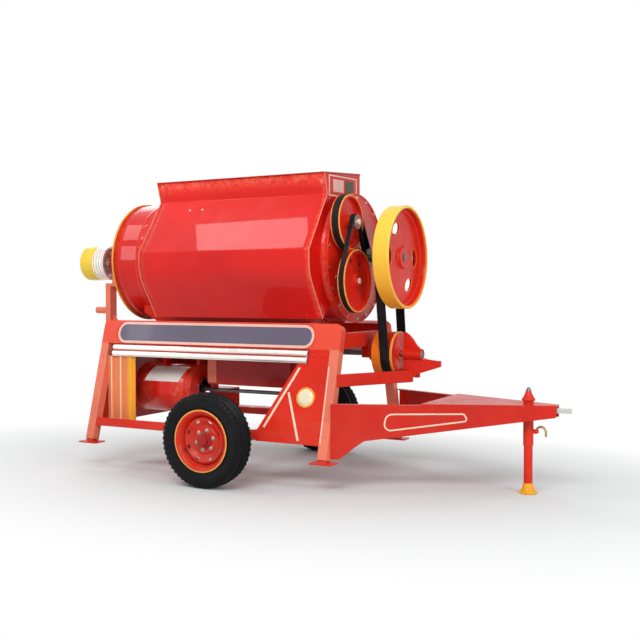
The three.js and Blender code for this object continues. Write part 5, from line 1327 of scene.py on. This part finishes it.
def jack():
    """The support leg with its sleeve, and the latch hook on the tongue."""
    def upright(profile, sides):
        return turned(profile, (ax(2.238), 0, 0), "Z", sides)

    sleeve = [(0.033, 0.360), (0.038, 0.360), (0.0385, 0.363), (0.038, 0.366), (0.038, 0.690), (0.048, 0.693),
              (0.050, 0.696), (0.050, 0.704), (0.048, 0.708), (0.036, 0.724), (0.024, 0.752), (0.0205, 0.764),
              (0.0, 0.764), (0.0, 0.692), (0.033, 0.692)]
    put("jack_tube", upright(sleeve, 72), RED, 35, "frame", "red_paint", "jack_sleeve")
    tip = [(0.0, 0.7645), (0.0205, 0.7645), (0.0195, 0.770), (0.013, 0.784), (0.008, 0.790), (0.0, 0.792)]
    put("jack_tip", upright(tip, 48), DARK, 35, "frame", "dark_steel")
    collar = [(0.0385, 0.560), (0.052, 0.560), (0.054, 0.563), (0.054, 0.568), (0.0385, 0.5705)]
    put("jack_collar", upright(collar, 72), RED)
    leg = [(0.0, 0.012), (0.0327, 0.012), (0.0327, 0.422), (0.030, 0.425), (0.0, 0.425)]
    put("jack_leg", upright(leg, 72), RED, 35, "prop", "red_paint", "prop_leg")
    foot = [(0.0, 0.0), (0.064, 0.0), (0.068, 0.003), (0.068, 0.010), (0.064, 0.014), (0.050, 0.030),
            (0.041, 0.052), (0.0365, 0.075), (0.0335, 0.078), (0.0330, 0.0125), (0.0, 0.0118)]
    put("jack_foot", upright(foot, 72), AMBER, 35, "prop", "yellow_paint")
    pivot = Vector((ax(2.298), 0, 0.465))
    ears = []
    shape = rounded(oblong(ax(2.270), ax(2.314), 0.449, 0.481), [0, 0.012, 0.012, 0], 8)
    for sign in (-1, 1):
        ears.append(prism(shape, facing_y, sign * 0.0063, sign * 0.0113))
    ears.append(prism(circle(0.005, 20, pivot.x, pivot.z), facing_y, -0.015, 0.015))
    put("latch_ears", joined(*ears), RED, edge=(0.0008,))
    middle = pivot + Vector((0.036, 0, 0))
    arch = [math.pi * (1 - k / 24) for k in range(25)]
    path = [middle + Vector((0.036 * math.cos(a), 0, 0.036 * math.sin(a))) for a in arch]
    path += [middle + Vector((0.036, 0, -0.035 * k / 5)) for k in range(1, 6)]
    hook = tube(path, 0.0088, 16, taper=lambda t: min(0.62 + 2.2 * t, 1.0, 0.75 + (1 - t) * 4))
    eye = turned([(0.0056, -0.0058), (0.011, -0.0058), (0.0115, 0.0), (0.011, 0.0058), (0.0056, 0.0058)],
                 tuple(pivot), "Y", 40)
    put("latch_hook", joined(hook, eye), BRASS, 50, "latch", "yellow_paint", "prop_latch")


jack()


# Floor and light
def looking_rays(tree):
    """1 for rays from the camera, from a mirror or through glass, and 0 for the rest."""
    rays = node(tree, "ShaderNodeLightPath").outputs
    total = rays["Is Camera Ray"]
    for name in ("Is Glossy Ray", "Is Transmission Ray"):
        most = node(tree, "ShaderNodeMath", operation="MAXIMUM")
        link(total, most.inputs[0])
        link(rays[name], most.inputs[1])
        total = most.outputs[0]
    return total


def stage():
    floor = bpy.data.meshes.new("floor")
    size = 60
    corners = [(x, y, 0) for x, y in oblong(-size, size, -size, size)]
    floor.from_pydata(corners, [], [(0, 1, 2, 3)])
    material, tree, shader = nodes_of("floor")
    adjust(shader, {"Base Color": (0.745, 0.775, 0.775, 1), "Roughness": 0.85, "Specular IOR Level": 0.1})
    glow = node(tree, "ShaderNodeEmission", Color=(1, 1, 1, 1), Strength=1.0)
    squash = node(tree, "ShaderNodeVectorMath", operation="MULTIPLY")
    squash.inputs[1].default_value = (0.62, 1.0, 1.0)
    link(place_on(tree), squash.inputs[0])
    away = node(tree, "ShaderNodeVectorMath", operation="LENGTH")
    link(squash.outputs["Vector"], away.inputs[0])
    fade = span(tree, away.outputs["Value"], 1.1, 2.7, 0.0, 1.0)
    share = product(tree, looking_rays(tree), fade)
    choose = node(tree, "ShaderNodeMixShader")
    link(share, choose.inputs[0])
    link(shader.outputs[0], choose.inputs[1])
    link(glow.outputs[0], choose.inputs[2])
    link(choose.outputs[0], tree.nodes["Material Output"].inputs["Surface"])
    floor.materials.append(material)
    placed("floor", floor)

    world = bpy.data.worlds.new("studio")
    scene.world = world
    world.use_nodes = True
    tree = world.node_tree
    background = tree.nodes["Background"]
    place = node(tree, "ShaderNodeTexCoord")
    parts = node(tree, "ShaderNodeSeparateXYZ")
    link(place.outputs["Generated"], parts.inputs["Vector"])
    sky = ramp(tree, span(tree, parts.outputs["Z"], -0.1, 0.9), [(0.0, (0.74, 0.74, 0.74)),
                (0.35, (0.62, 0.62, 0.63)), (1.0, (0.80, 0.80, 0.81))])
    link(sky, background.inputs["Color"])
    background.inputs["Strength"].default_value = 0.62
    white = node(tree, "ShaderNodeBackground", Color=(1, 1, 1, 1), Strength=1.0)
    choose = node(tree, "ShaderNodeMixShader")
    link(looking_rays(tree), choose.inputs[0])
    link(background.outputs[0], choose.inputs[1])
    link(white.outputs[0], choose.inputs[2])
    link(choose.outputs[0], tree.nodes["World Output"].inputs["Surface"])

    def lamp(name, at, towards, power, width, height, along=None):
        data = bpy.data.lights.new(name, "AREA")
        data.shape = "RECTANGLE"
        data.size, data.size_y = width, height
        data.energy = power
        made = placed(name, data)
        made.location = at
        made.rotation_mode = "QUATERNION"
        made.rotation_quaternion = (Vector(towards) - Vector(at)).to_track_quat("-Z", "Y")
        if along is not None:
            back = (Vector(at) - Vector(towards)).normalized()
            up = back.cross(Vector(along)).normalized()
            turn = Matrix((up.cross(back), up, back)).transposed()
            made.rotation_quaternion = turn.to_quaternion()
    lamp("key", (1.5, -6.5, 6.0), (-0.3, -0.2, 1.3), 305, 5.0, 2.4)
    lamp("fill", (7.0, -3.0, 3.5), (0.5, 0, 1.2), 170, 3.5, 3.0)
    lamp("back", (-5.5, 4.5, 5.5), (-0.3, 0, 1.3), 150, 4.0, 3.0)
    lamp("panel", (ax(-1.265), -1.409, 4.168), (ax(0.206), -0.637, 1.914), 9.6,
         1.20, 0.30, (0.847, -0.149, 0.510))
    lamp("strip_high", (ax(-3.29), -1.67, 4.30), (ax(-1.09), -0.45, 2.01), 12,
         1.75, 0.30, (0.0, -0.87, -0.50))
    lamp("strip_low", (ax(-3.32), -3.00, 2.60), (ax(-1.09), -0.50, 1.83), 10, 1.45, 0.28, (0.0, -0.27, -0.96))


stage()
scene.view_settings.view_transform = "Standard"
